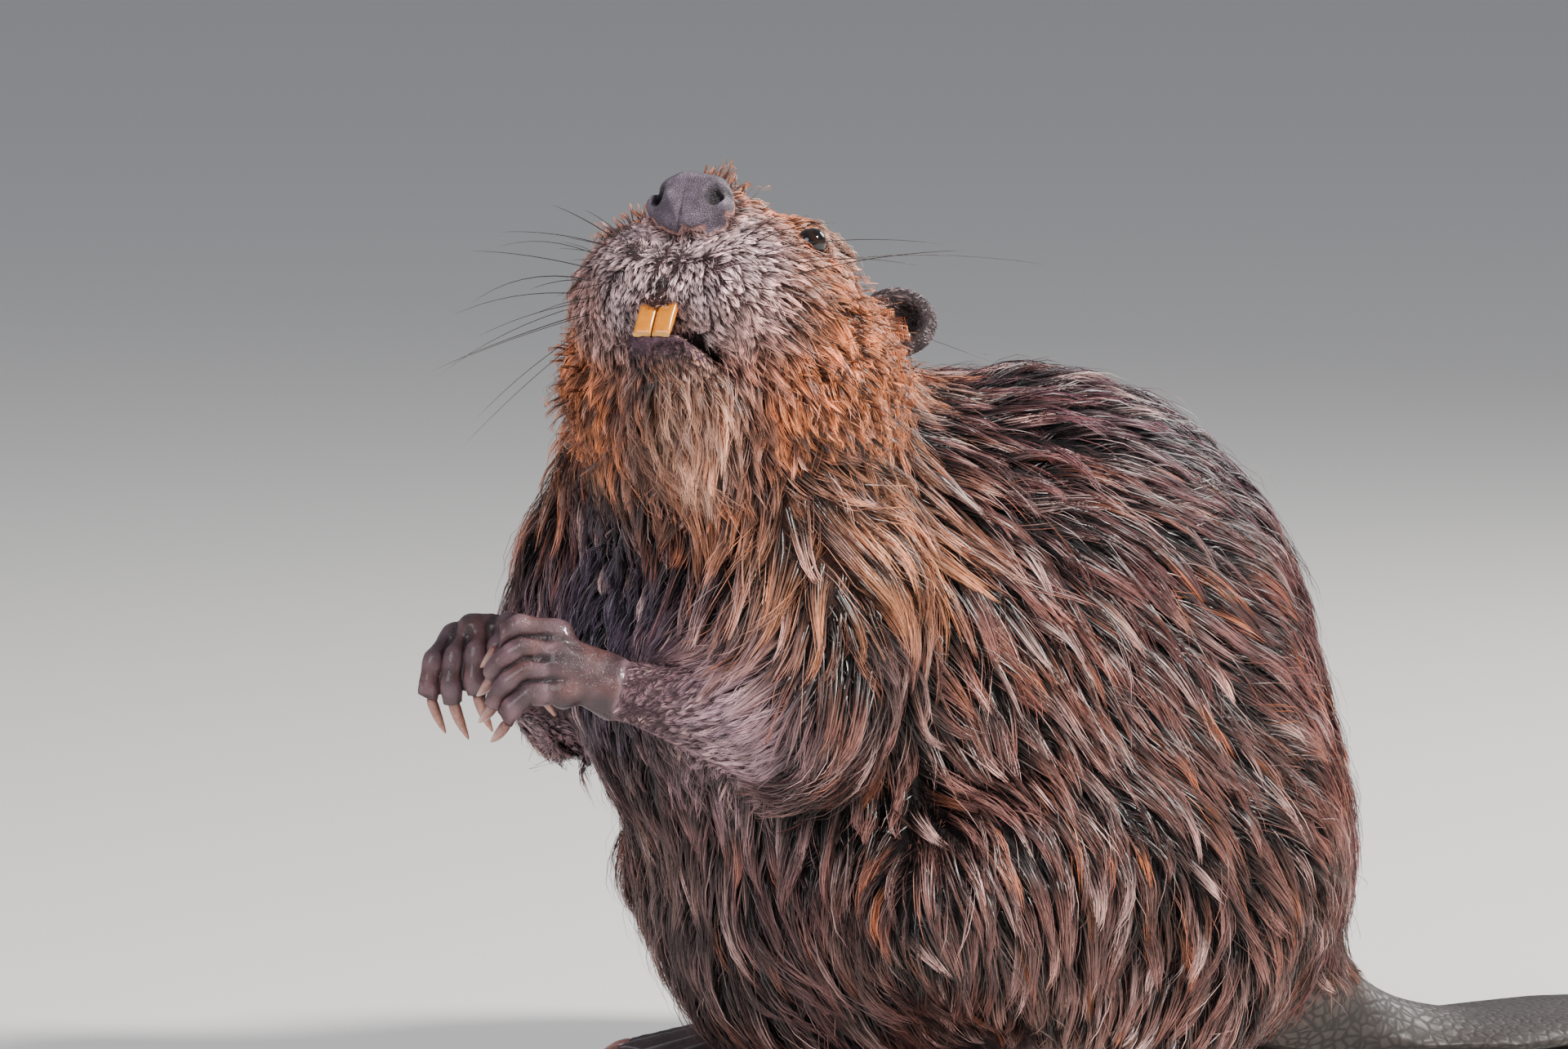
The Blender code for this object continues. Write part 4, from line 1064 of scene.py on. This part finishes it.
def strands(skin, fields, kind, count, per_lock, steps, **look):
    """All strands of a layer: rings of two points each and a tip, their colours and their places on the unwrap."""
    source = np.random.default_rng(look["seed"])
    count = count // 1
    thick = fields.kinds[kind]
    guide_roots = Roots(skin, fields, thick, max(count // per_lock, 1), source)
    locks = len(guide_roots.co)
    if look["lift"]:
        guide_roots.length = guide_roots.spike_length * SPIKE_LEAN
    reach = np.minimum(guide_roots.length * look["length"], look["longest"])
    guide_roots.length = reach * source.uniform(*GUIDE_LENGTHS, locks)
    points, normals, across = run_guides(skin, guide_roots, steps, source, look["scatter"])
    points = gather(points, source, look["gather"])
    lock_rise = source.uniform(*LOCK_RISES, locks)
    lock_tone = np.exp(source.normal(*LOCK_TONE, locks))
    lock_wave = source.uniform(0, 2 * math.pi, locks)
    lock_lit = (source.random(locks) < look["lit"]) * source.uniform(*LIT_STRENGTHS, locks)
    lock_gold = (source.random(locks) < look["gold"]) * source.uniform(*GOLD_STRENGTHS, locks)
    roots = Roots(skin, fields, thick, count, source)
    lock = nearest_rows(guide_roots.co + APART * guide_roots.normal, roots.co + APART * roots.normal)
    stray = source.random(count) < look["stray"]
    reach = source.uniform(*STRAND_REACHES, count)
    pull = np.where(stray, STRAY_PULL, look["pull"] * source.uniform(*PULLS, count))
    rise = roots.rise * look["rise"] + guide_roots.length[lock] * look["lift"]
    rise *= lock_rise[lock] * source.uniform(*STRAND_RISES, count) * np.where(stray, STRAY_RISE, 1)
    roll = source.normal(0, ROLL, count)
    offset = (roots.co - points[0][lock]) * look["bunch"]
    curl = look["curl"] * roots.curl * np.minimum(roots.length / 0.03, 1)
    tone = (lock_tone[lock] * np.exp(source.normal(*STRAND_TONE, count))).clip(0.35, 2.0)[:, None]
    tips = mix(roots.tip_tint, colour(*GOLD) * 0.9, lock_gold[lock] * roots.warm)
    tips = mix(tips, colour(*LIT), lock_lit[lock] * roots.shine)
    rings, tints, spots = [], [], []
    for i in range(steps + 1):
        share, edges = i / steps, (-1, 1) if i < steps else (0,)
        path, normal = at_share(points[:, lock], reach * share), unit(at_share(normals[:, lock], reach * share))
        side = unit(at_share(across[:, lock], reach * share))
        keep = 1 - pull * (reach * share) ** look["closing"]
        height = rise * (1 - (1 - share) ** 2.2) * (1 - 0.25 * share**3) - ROOT_DEPTH * (1 - share)
        sway = curl * np.sin(lock_wave[lock] + share * 5.2 + roll) * share
        centre = path + offset * keep[:, None] + normal * height[:, None] + side * sway[:, None]
        flat = side * np.cos(roll)[:, None] + normal * np.sin(roll)[:, None]
        half = (roots.width * look["width"] * 0.5 * (0.90 + 0.4 * share - 1.0 * share**3))[:, None]
        tint = mix(roots.root_tint, tips, np.full(count, ease((share - 0.22) / 0.74) * look["tip"])) * tone
        for edge in edges:
            rings.append(centre + flat * half * edge)
            tints.append(tint)
            spots.append(roots.uv + PATCH * np.array((edge / 2, share - 0.5)))
    rings = np.stack(rings, 1)
    rings[:, :, 2] = np.maximum(rings[:, :, 2], LOWEST_HAIR)
    return rings, np.stack(tints, 1), np.stack(spots, 1)


def strand_mesh(name, rings, tints, spots):
    """A mesh of ribbons, each a strip of quads that ends in a triangle."""
    count, per = rings.shape[:2]
    steps = (per - 1) // 2
    corners = []
    for i in range(steps - 1):
        corners += [2 * i, 2 * i + 1, 2 * i + 3, 2 * i + 2]
    corners += [per - 3, per - 2, per - 1]
    sizes = np.array([4] * (steps - 1) + [3])
    loops = (np.arange(count)[:, None] * per + np.array(corners)).ravel()
    sizes = np.tile(sizes, count)
    mesh = bpy.data.meshes.new(name)
    mesh.vertices.add(count * per)
    mesh.loops.add(len(loops))
    mesh.polygons.add(len(sizes))
    mesh.vertices.foreach_set("co", rings.astype(np.float32).ravel())
    mesh.loops.foreach_set("vertex_index", loops.astype(np.int32))
    mesh.polygons.foreach_set("loop_start", (np.cumsum(sizes) - sizes).astype(np.int32))
    mesh.update(calc_edges=True)
    mesh.shade_smooth()
    uv = mesh.uv_layers.new(name="OFBake")
    uv.uv.foreach_set("vector", spots.reshape(-1, 2)[loops].astype(np.float32).ravel())
    set_tint(mesh, tints.reshape(-1, 3))
    return mesh


MOST_TRIANGLES = 190000  # in one piece of the coat


def make_coat(skin, fields, look_of_hair):
    """The layers as pieces, parted from the floor up."""
    for name, look in LAYERS.items():
        rings, tints, spots = strands(skin, fields, **{**USUAL, **look})
        order = np.argsort(rings[:, 0, 2], kind="stable")
        share = MOST_TRIANGLES // (rings.shape[1] - 2)
        for part, start in enumerate(range(0, len(order), share)):
            chosen, title = order[start : start + share], f"coat_{name}_{part + 1}"
            obj = link(title, strand_mesh(title, rings[chosen], tints[chosen], spots[chosen]))
            carry(obj, "coat", look=look_of_hair)


# ---------------------------------------------------------------- whiskers
def tube(bm, points, radii, sides=5):
    """A tapering tube with a point at its end."""
    points = [Vector(point) for point in points]
    after = [*range(1, sides), 0]
    rings = []
    for i, point in enumerate(points[:-1]):
        ahead = (points[i + 1] - points[max(i - 1, 0)]).normalized()
        first = ahead.orthogonal().normalized()
        second = ahead.cross(first)
        turns = [2 * math.pi * j / sides for j in range(sides)]
        ring = [point + (first * math.cos(turn) + second * math.sin(turn)) * radii[i] for turn in turns]
        rings.append([bm.verts.new(place) for place in ring])
    tip = bm.verts.new(points[-1])
    for low, high in zip(rings, rings[1:]):
        for j, k in enumerate(after):
            bm.faces.new((low[j], low[k], high[k], high[j]))
    for j, k in enumerate(after):
        bm.faces.new((rings[-1][j], rings[-1][k], tip))
    bm.faces.new(list(reversed(rings[0])))


WHISKER_ROWS, WHISKERS_IN_ROW = 4, 5
WHISKER_STEPS = 8
WHISKER_SWEEP = -0.24  # back from straight, times its length
WHISKER_TINT = (0.12, 0.08, 0.07)
WHISKER_LENGTH, WHISKER_GROWTH = 0.026, 0.062  # at the front of a row, and how much more at its back
WHISKER_ROOT, WHISKER_TIP = (0.00016, 0.00027), 0.00003  # radii: the least and most at the root, and at the tip


def make_whiskers(skin):
    """Rows of stiff dark hairs on each whisker pad, longest at the back, that sweep out and back."""
    bm = bmesh.new()
    source = np.random.default_rng(11)
    for side in SIDES.values():
        for row, place in np.ndindex(WHISKER_ROWS, WHISKERS_IN_ROW):
            share = place / (WHISKERS_IN_ROW - 1)
            forward = -0.014 - 0.026 * share + source.normal(0, 0.001)
            left = side * (0.024 + 0.017 * share)
            up = -0.022 - 0.0075 * row - 0.004 * share + source.normal(0, 0.001)
            index = skin.tree.find(on_head(forward, left, up))[1]
            root, normal = skin.co[index], skin.normal[index]
            length = (WHISKER_LENGTH + WHISKER_GROWTH * share) * source.uniform(0.65, 1.25)
            fan = np.array((0.25 - 0.85 * share, side, 0.32 - 0.20 * row)) + source.normal(0, 0.14, 3)
            out = unit(unit(HEAD @ fan) + 0.35 * normal)
            bow = HEAD @ np.array((WHISKER_SWEEP, 0, 0.0)) * length * source.uniform(0.3, 1.2)
            sag = DOWN * length * source.uniform(0.0, 0.16)
            thick = source.uniform(*WHISKER_ROOT)
            along = [i / WHISKER_STEPS for i in range(WHISKER_STEPS + 1)]
            points = [root - normal * 0.001 * (1 - t) + out * t * length + (bow + sag) * t * t for t in along]
            tube(bm, points, [thick * (1 - t) ** 0.7 + WHISKER_TIP for t in along])
    whiskers = finish_mesh(bm, "whiskers")
    set_blend(whiskers.data, WHISKER_TINT, WHISKER_TINT, np.zeros(len(whiskers.data.vertices)))
    return whiskers


# ---------------------------------------------------------------- eyes, teeth and claws
EYE_TINT, IRIS_TINT = (0.06, 0.045, 0.05), (0.13, 0.08, 0.06)
ENAMEL_ROOT, ENAMEL, ENAMEL_EDGE = (0.55, 0.27, 0.04), (0.82, 0.49, 0.06), (0.88, 0.66, 0.32)
CLAW_ROOT, CLAW_TIP = (0.45, 0.28, 0.27), (0.76, 0.56, 0.50)


def make_eye(side):
    """A dark eyeball with a wide pupil, an iris a shade lighter and a raised front."""
    centre, radius = eyeball(side)
    axes = eye_axes(side)
    bm = bmesh.new()
    bmesh.ops.create_uvsphere(bm, u_segments=48, v_segments=32, radius=1)
    points = np.array([vert.co for vert in bm.verts])
    for vert, point in zip(bm.verts, points):
        bulge = 1 + 0.05 * float(ease((point[2] - 0.55) / 0.45))
        vert.co = Vector(centre + axes @ (point * radius * bulge))
    eye = finish_mesh(bm, f"eyeball_{side}")
    iris = ease((points[:, 2] - 0.62) / 0.10) * (1 - ease((points[:, 2] - 0.86) / 0.05))
    set_blend(eye.data, EYE_TINT, IRIS_TINT, iris)
    return eye


TOOTH_SHIFT = np.array((0.0015, 0, -0.0020))  # forward, left and up
TOOTH_ROWS, TOOTH_TURNS = 15, 24
TOOTH_GROOVE = 0.00022  # deep, down its face
CHISEL_START, CHISEL_THINNING = 0.72, 0.55  # down the tooth, and how much of its thickness goes


def make_incisor(side):
    """A curved chisel of orange enamel."""
    at = in_head(vertices_of(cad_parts[f"incisor_{side}"].data))
    low, high = at.min(axis=0) + TOOTH_SHIFT, at.max(axis=0) + TOOTH_SHIFT
    middle, half = (low + high) / 2, (high - low) / 2
    bm = bmesh.new()
    rings = []
    for i in range(TOOTH_ROWS):
        share = i / (TOOTH_ROWS - 1)
        chisel = 1 - CHISEL_THINNING * max(share - CHISEL_START, 0) / (1 - CHISEL_START)
        forward = middle[0] - 0.0012 * (2 * share - 1) ** 2 + half[0] * (1 - chisel) * 0.9
        ring = []
        for j in range(TOOTH_TURNS):
            turn = 2 * math.pi * j / TOOTH_TURNS
            x = math.copysign(abs(math.cos(turn)) ** 0.6, math.cos(turn))
            y = math.copysign(abs(math.sin(turn)) ** 0.5, math.sin(turn))
            groove = TOOTH_GROOVE * math.exp(-((y / 0.18) ** 2)) * (x > 0)
            place = on_head(
                forward + x * half[0] * chisel * 0.92 - groove,
                middle[1] + y * half[1] * (0.985 - 0.03 * share),
                high[2] + (low[2] - high[2]) * share + 0.0008 * (x > 0) * (share > 0.95),
            )
            ring.append(bm.verts.new(place))
        rings.append(ring)
    for above, below in zip(rings, rings[1:]):
        for j in range(TOOTH_TURNS):
            after = (j + 1) % TOOTH_TURNS
            bm.faces.new((above[j], below[j], below[after], above[after]))
    bm.faces.new(rings[0])
    bm.faces.new(list(reversed(rings[-1])))
    tooth = finish_mesh(bm, f"tooth_{side}")
    share = (high[2] - in_head(vertices_of(tooth.data))[:, 2]) / (high[2] - low[2])
    enamel = mix(np.ones((len(share), 3)) * colour(*ENAMEL_ROOT), colour(*ENAMEL), ease(share * 1.3))
    set_tint(tooth.data, mix(enamel, colour(*ENAMEL_EDGE), ease((share - 0.94) / 0.06)))
    tooth.data.set_sharp_from_angle(angle=math.radians(50))
    return tooth


CLAW_FULLNESS = 0.0006  # added half way along


def make_claw(name):
    """The frame's claw, rounded, with a paler tip."""
    bm = bmesh.new()
    bm.from_mesh(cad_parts[name].data)
    bmesh.ops.remove_doubles(bm, verts=bm.verts, dist=1e-6)
    claw = finish_mesh(bm, name.replace("claw_", "nail_"))
    smooth = claw.modifiers.new("round", "SUBSURF")
    smooth.levels = smooth.render_levels = 2
    apply_modifiers(claw)
    claw.data.shade_smooth()
    points = vertices_of(claw.data)
    far = distance(points, box_centre("_".join(name.split("_")[1:3])))
    share = (far - far.min()) / (far.max() - far.min())
    outward = np.array([vert.normal for vert in claw.data.vertices])
    points = points + outward * (CLAW_FULLNESS * np.sin(math.pi * cut(share) ** 0.8))[:, None]
    set_vertices(claw.data, points)
    set_blend(claw.data, CLAW_ROOT, CLAW_TIP, ease(share))
    return claw


# ---------------------------------------------------------------- shader groups
def feed(tree, entry, value):
    """Gives an input a value, or links a socket to it."""
    if isinstance(value, bpy.types.NodeSocket):
        tree.links.new(value, entry)
    else:
        entry.default_value = value


def add(tree, kind, **given):
    """A shader node. Names in small letters are its settings; the others are its inputs, with _ for a space."""
    node = tree.nodes.new("ShaderNode" + kind)
    for name, value in given.items():
        if name.islower():
            setattr(node, name, value)
        else:
            feed(tree, node.inputs[name.replace("_", " ")], value)
    return node


def work_out(tree, operation, *values):
    """A math node's result."""
    node = add(tree, "Math", operation=operation)
    for entry, value in zip(node.inputs, values):
        feed(tree, entry, value)
    return node.outputs[0]


def texture(tree, kind, **given):
    """A texture node that lies still on the object."""
    return add(tree, "Tex" + kind, Vector=add(tree, "TexCoord").outputs["Object"], **given)


def ranged(tree, value, low, high, **given):
    return add(tree, "MapRange", Value=value, To_Min=low, To_Max=high, **given).outputs[0]


def scaled(tree, tint, share):
    return add(tree, "VectorMath", operation="SCALE", Vector=tint, Scale=share).outputs[0]


def new_group(name, inputs, outputs):
    """An empty group, its inputs as sockets, and its output node. A tuple is a colour's value."""
    group = bpy.data.node_groups.new(name, "ShaderNodeTree")
    for socket, value in inputs.items():
        kind = "NodeSocketColor" if isinstance(value, tuple) else "NodeSocketFloat"
        group.interface.new_socket(socket, in_out="INPUT", socket_type=kind).default_value = value
    for socket, kind in outputs.items():
        group.interface.new_socket(socket, in_out="OUTPUT", socket_type=kind)
    return group, group.nodes.new("NodeGroupInput").outputs, group.nodes.new("NodeGroupOutput").inputs


def tone_group():
    """A tint broken up by soft and fine mottling."""
    group, given, made = new_group(
        "coat_tone",
        {"Tint": (0.5, 0.5, 0.5, 1), "Mottle": 0.25, "Size": 0.004},
        {"Colour": "NodeSocketColor", "Mask": "NodeSocketFloat"},
    )
    scale = work_out(group, "DIVIDE", 1.0, given["Size"])
    noise = texture(group, "Noise", Scale=scale, Detail=3.0).outputs["Fac"]
    spread = ranged(group, noise, -1.0, 1.0, From_Min=0.3, From_Max=0.7)
    lift = work_out(group, "ADD", work_out(group, "MULTIPLY", spread, given["Mottle"]), 1.0)
    feed(group, made["Colour"], scaled(group, given["Tint"], lift))
    feed(group, made["Mask"], noise)
    return group


def hide_group():
    """Leathery skin: small plates between fine creases, over softer wrinkles."""
    group, given, made = new_group(
        "wrinkled_hide",
        {"Plate": 0.0014, "Depth": 0.0003, "Wrinkle": 0.004},
        {"Height": "NodeSocketFloat", "Crease": "NodeSocketFloat"},
    )
    plates = work_out(group, "DIVIDE", 1.0, given["Plate"])
    folds = work_out(group, "DIVIDE", 1.0, given["Wrinkle"])
    cells = texture(group, "Voronoi", feature="DISTANCE_TO_EDGE", Scale=plates).outputs["Distance"]
    dome = ranged(group, cells, 0.0, 1.0, From_Min=0.0, From_Max=0.28, interpolation_type="SMOOTHSTEP")
    wrinkle = texture(group, "Noise", Scale=folds, Detail=4.0, Distortion=1.5).outputs["Fac"]
    both = work_out(group, "MULTIPLY_ADD", dome, 0.45, wrinkle)
    feed(group, made["Height"], work_out(group, "MULTIPLY", both, given["Depth"]))
    feed(group, made["Crease"], work_out(group, "SUBTRACT", 1.0, dome))
    return group


# ---------------------------------------------------------------- materials
def new_material(name, tone, mottle, size, roughness, specular=0.5, coat=0.0):
    """A material with the mesh's mottled tint, its node tree, its shader's inputs and the mottling's outputs."""
    material = bpy.data.materials.new(name)
    material.use_nodes = True
    tree = material.node_tree
    shader = tree.nodes["Principled BSDF"].inputs
    shader["Roughness"].default_value = roughness
    shader["Specular IOR Level"].default_value = specular
    shader["Coat Weight"].default_value = coat
    shader["Coat Roughness"].default_value = 0.08
    tint = add(tree, "Attribute", attribute_name="tint").outputs["Color"]
    look = add(tree, "Group", node_tree=tone, Tint=tint, Mottle=mottle, Size=size).outputs
    feed(tree, shader["Base Color"], look["Colour"])
    return material, tree, shader, look


def coat_material(tone):
    """Wet hair, glossier in some places than in others."""
    material, tree, shader, look = new_material("wet_hair", tone, 0.22, 0.0035, 0.38)
    feed(tree, shader["Roughness"], ranged(tree, look["Mask"], 0.24, 0.52))
    return material


def furred_skin_material(tone):
    material, tree, shader, look = new_material("skin_under_coat", tone, 0.45, 0.0022, 0.75, 0.25)
    grain = texture(tree, "Noise", Scale=900.0, Detail=3.0).outputs["Fac"]
    feed(tree, shader["Normal"], add(tree, "Bump", Height=grain, Distance=0.0006, Strength=0.8).outputs[0])
    return material


def hide_material(name, tone, hide, roughness, plate, depth, wrinkle, darken, coat=0.0):
    """Bare skin: darker in its creases as painted shade, shinier on its plates."""
    material, tree, shader, look = new_material(name, tone, 0.30, wrinkle * 1.5, roughness, coat=coat)
    relief = add(tree, "Group", node_tree=hide, Plate=plate, Depth=depth, Wrinkle=wrinkle).outputs
    # painted shade in the creases between the plates
    crease_shade = ranged(tree, relief["Crease"], 1.0, 1.0 - darken)
    feed(tree, shader["Base Color"], scaled(tree, look["Colour"], crease_shade))
    feed(tree, shader["Roughness"], ranged(tree, relief["Crease"], roughness, roughness + 0.25))
    feed(tree, shader["Normal"], add(tree, "Bump", Height=relief["Height"], Distance=1.0, Strength=1.0).outputs[0])
    return material


# ---------------------------------------------------------------- stage
CAMERA_AZIMUTH, CAMERA_ELEVATION, CAMERA_DISTANCE = math.radians(62), math.radians(5), 6.0
VIEW_WIDTH = 0.672  # of what the camera takes in at the animal
VIEW_RIGHT, VIEW_UP = -0.1015, 0.2424  # of the view's middle from the frame's origin
SENSOR = 36
FLOOR_REACH = 40
FLOOR_TINT, SKY_TINT, SKY_STRENGTH = (0.72, 0.71, 0.69, 1), (0.86, 0.90, 1.0, 1), 0.34
LAMPS_AIM = np.array((0, 0, 0.22))
# name: to the camera's right, up and towards the camera, the disc's width, its power and its tint
LAMPS = {
    "key": ((1.7, 1.9, 1.4), 0.5, 190, (1.0, 0.96, 0.90)),
    "rim": ((1.6, 1.5, -1.6), 1.0, 55, (1.0, 0.98, 0.95)),
    "fill": ((-1.6, 1.0, 2.0), 1.6, 40, (0.98, 0.96, 1.0)),
}


def place_facing(name, data, place, back):
    """A camera or a lamp at a place, with its back turned that way."""
    obj = link(name, data)
    obj.location = place
    obj.rotation_euler = Vector(back).to_track_quat("Z", "Y").to_euler()
    return obj


def make_stage():
    """The camera, a plain pale floor, and soft lamps."""
    right = np.array((math.cos(CAMERA_AZIMUTH), math.sin(CAMERA_AZIMUTH), 0))
    level = np.array((math.sin(CAMERA_AZIMUTH), -math.cos(CAMERA_AZIMUTH), 0))
    back = level * math.cos(CAMERA_ELEVATION) - DOWN * math.sin(CAMERA_ELEVATION)
    up = np.cross(back, right)
    target = right * VIEW_RIGHT + up * VIEW_UP
    lens = bpy.data.cameras.new("camera")
    lens.sensor_width = SENSOR
    lens.lens = SENSOR * CAMERA_DISTANCE / VIEW_WIDTH
    lens.clip_end = 200
    bpy.context.scene.camera = place_facing("camera", lens, target + back * CAMERA_DISTANCE, back)

    bm = bmesh.new()
    bmesh.ops.create_grid(bm, x_segments=2, y_segments=2, size=FLOOR_REACH)
    floor = finish_mesh(bm, "floor")
    material = bpy.data.materials.new("pale_floor")
    material.use_nodes = True
    shader = material.node_tree.nodes["Principled BSDF"].inputs
    shader["Base Color"].default_value, shader["Roughness"].default_value = FLOOR_TINT, 0.9
    floor.data.materials.append(material)

    world = bpy.data.worlds.new("studio")
    world.use_nodes = True
    sky = world.node_tree.nodes["Background"].inputs
    sky["Color"].default_value, sky["Strength"].default_value = SKY_TINT, SKY_STRENGTH
    bpy.context.scene.world = world
    for name, ((across, above, before), size, power, tint) in LAMPS.items():
        light = bpy.data.lights.new(name, "AREA")
        light.shape = "DISK"
        light.size, light.energy, light.color = size, power, tint
        way = right * across + up * above + back * before
        place_facing(name, light, LAMPS_AIM + way, way)


# ---------------------------------------------------------------- putting it together
def dress_skin(obj, skin, tone, hide):
    """Material slots by what covers each triangle, and the skin's tints."""
    looks = (
        (furred_skin_material(tone), None),
        (hide_material("nose_leather", tone, hide, 0.38, 0.0008, 0.00050, 0.0030, 0.55), ("nose",)),
        (hide_material("bare_paw_skin", tone, hide, 0.24, 0.0006, 0.00018, 0.0040, 0.15, 0.25), ("hand", "foot")),
        (hide_material("tail_scales", tone, hide, 0.45, 0.0052, 0.0005, 0.0150, 0.60), ("tail",)),
    )
    slots = np.zeros(len(skin.tris), np.int32)
    for i, (material, groups) in enumerate(looks):
        obj.data.materials.append(material)
        if groups:
            share = sum(skin.part[group] for group in groups) * (1 - skin.furred)
            slots[share[skin.tris].mean(axis=1) > 0.5] = i
    obj.data.polygons.foreach_set("material_index", slots)
    set_tint(obj.data, skin_tints(skin))


def carry(obj, slot, *nodes, look=None):
    """Puts a piece on the body in place of the nodes that it stands for. The slot is not used."""
    if look:
        obj.data.materials.append(look)
    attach(obj, "root")
    if nodes:
        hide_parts(*nodes)


make_stage()
tone, hide = tone_group(), hide_group()
skin_object, skin = make_skin()
for shape in (sink, model_nose, model_mouth, model_eyes, model_ears, round_tail, model_hands):
    shape(skin)
finish_skin(skin_object, skin)
unwrap(skin_object, skin)
set_lie(skin)
coat_tints_and_painted_light(skin)
dress_skin(skin_object, skin, tone, hide)
flesh = [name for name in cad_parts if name.removesuffix("_left").removesuffix("_right") in COAT_DEPTH]
carry(skin_object, "coat", *flesh)

make_coat(skin, Fields(skin), coat_material(tone))

whisker_look = new_material("whisker", tone, 0.2, 0.01, 0.35)[0]
eye_look = new_material("wet_eye", tone, 0.1, 0.002, 0.06)[0]
tooth_look = new_material("enamel", tone, 0.12, 0.002, 0.24, coat=0.4)[0]
claw_look = new_material("horn", tone, 0.25, 0.002, 0.34, coat=0.3)[0]
carry(make_whiskers(skin), "coat", look=whisker_look)
for side in SIDES:
    carry(make_eye(side), "eyeball", f"eye_{side}", look=eye_look)
    carry(make_incisor(side), "incisor", f"incisor_{side}", look=tooth_look)
for name in sorted(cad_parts):
    if name.startswith("claw_"):
        carry(make_claw(name), "claw", name, look=claw_look)
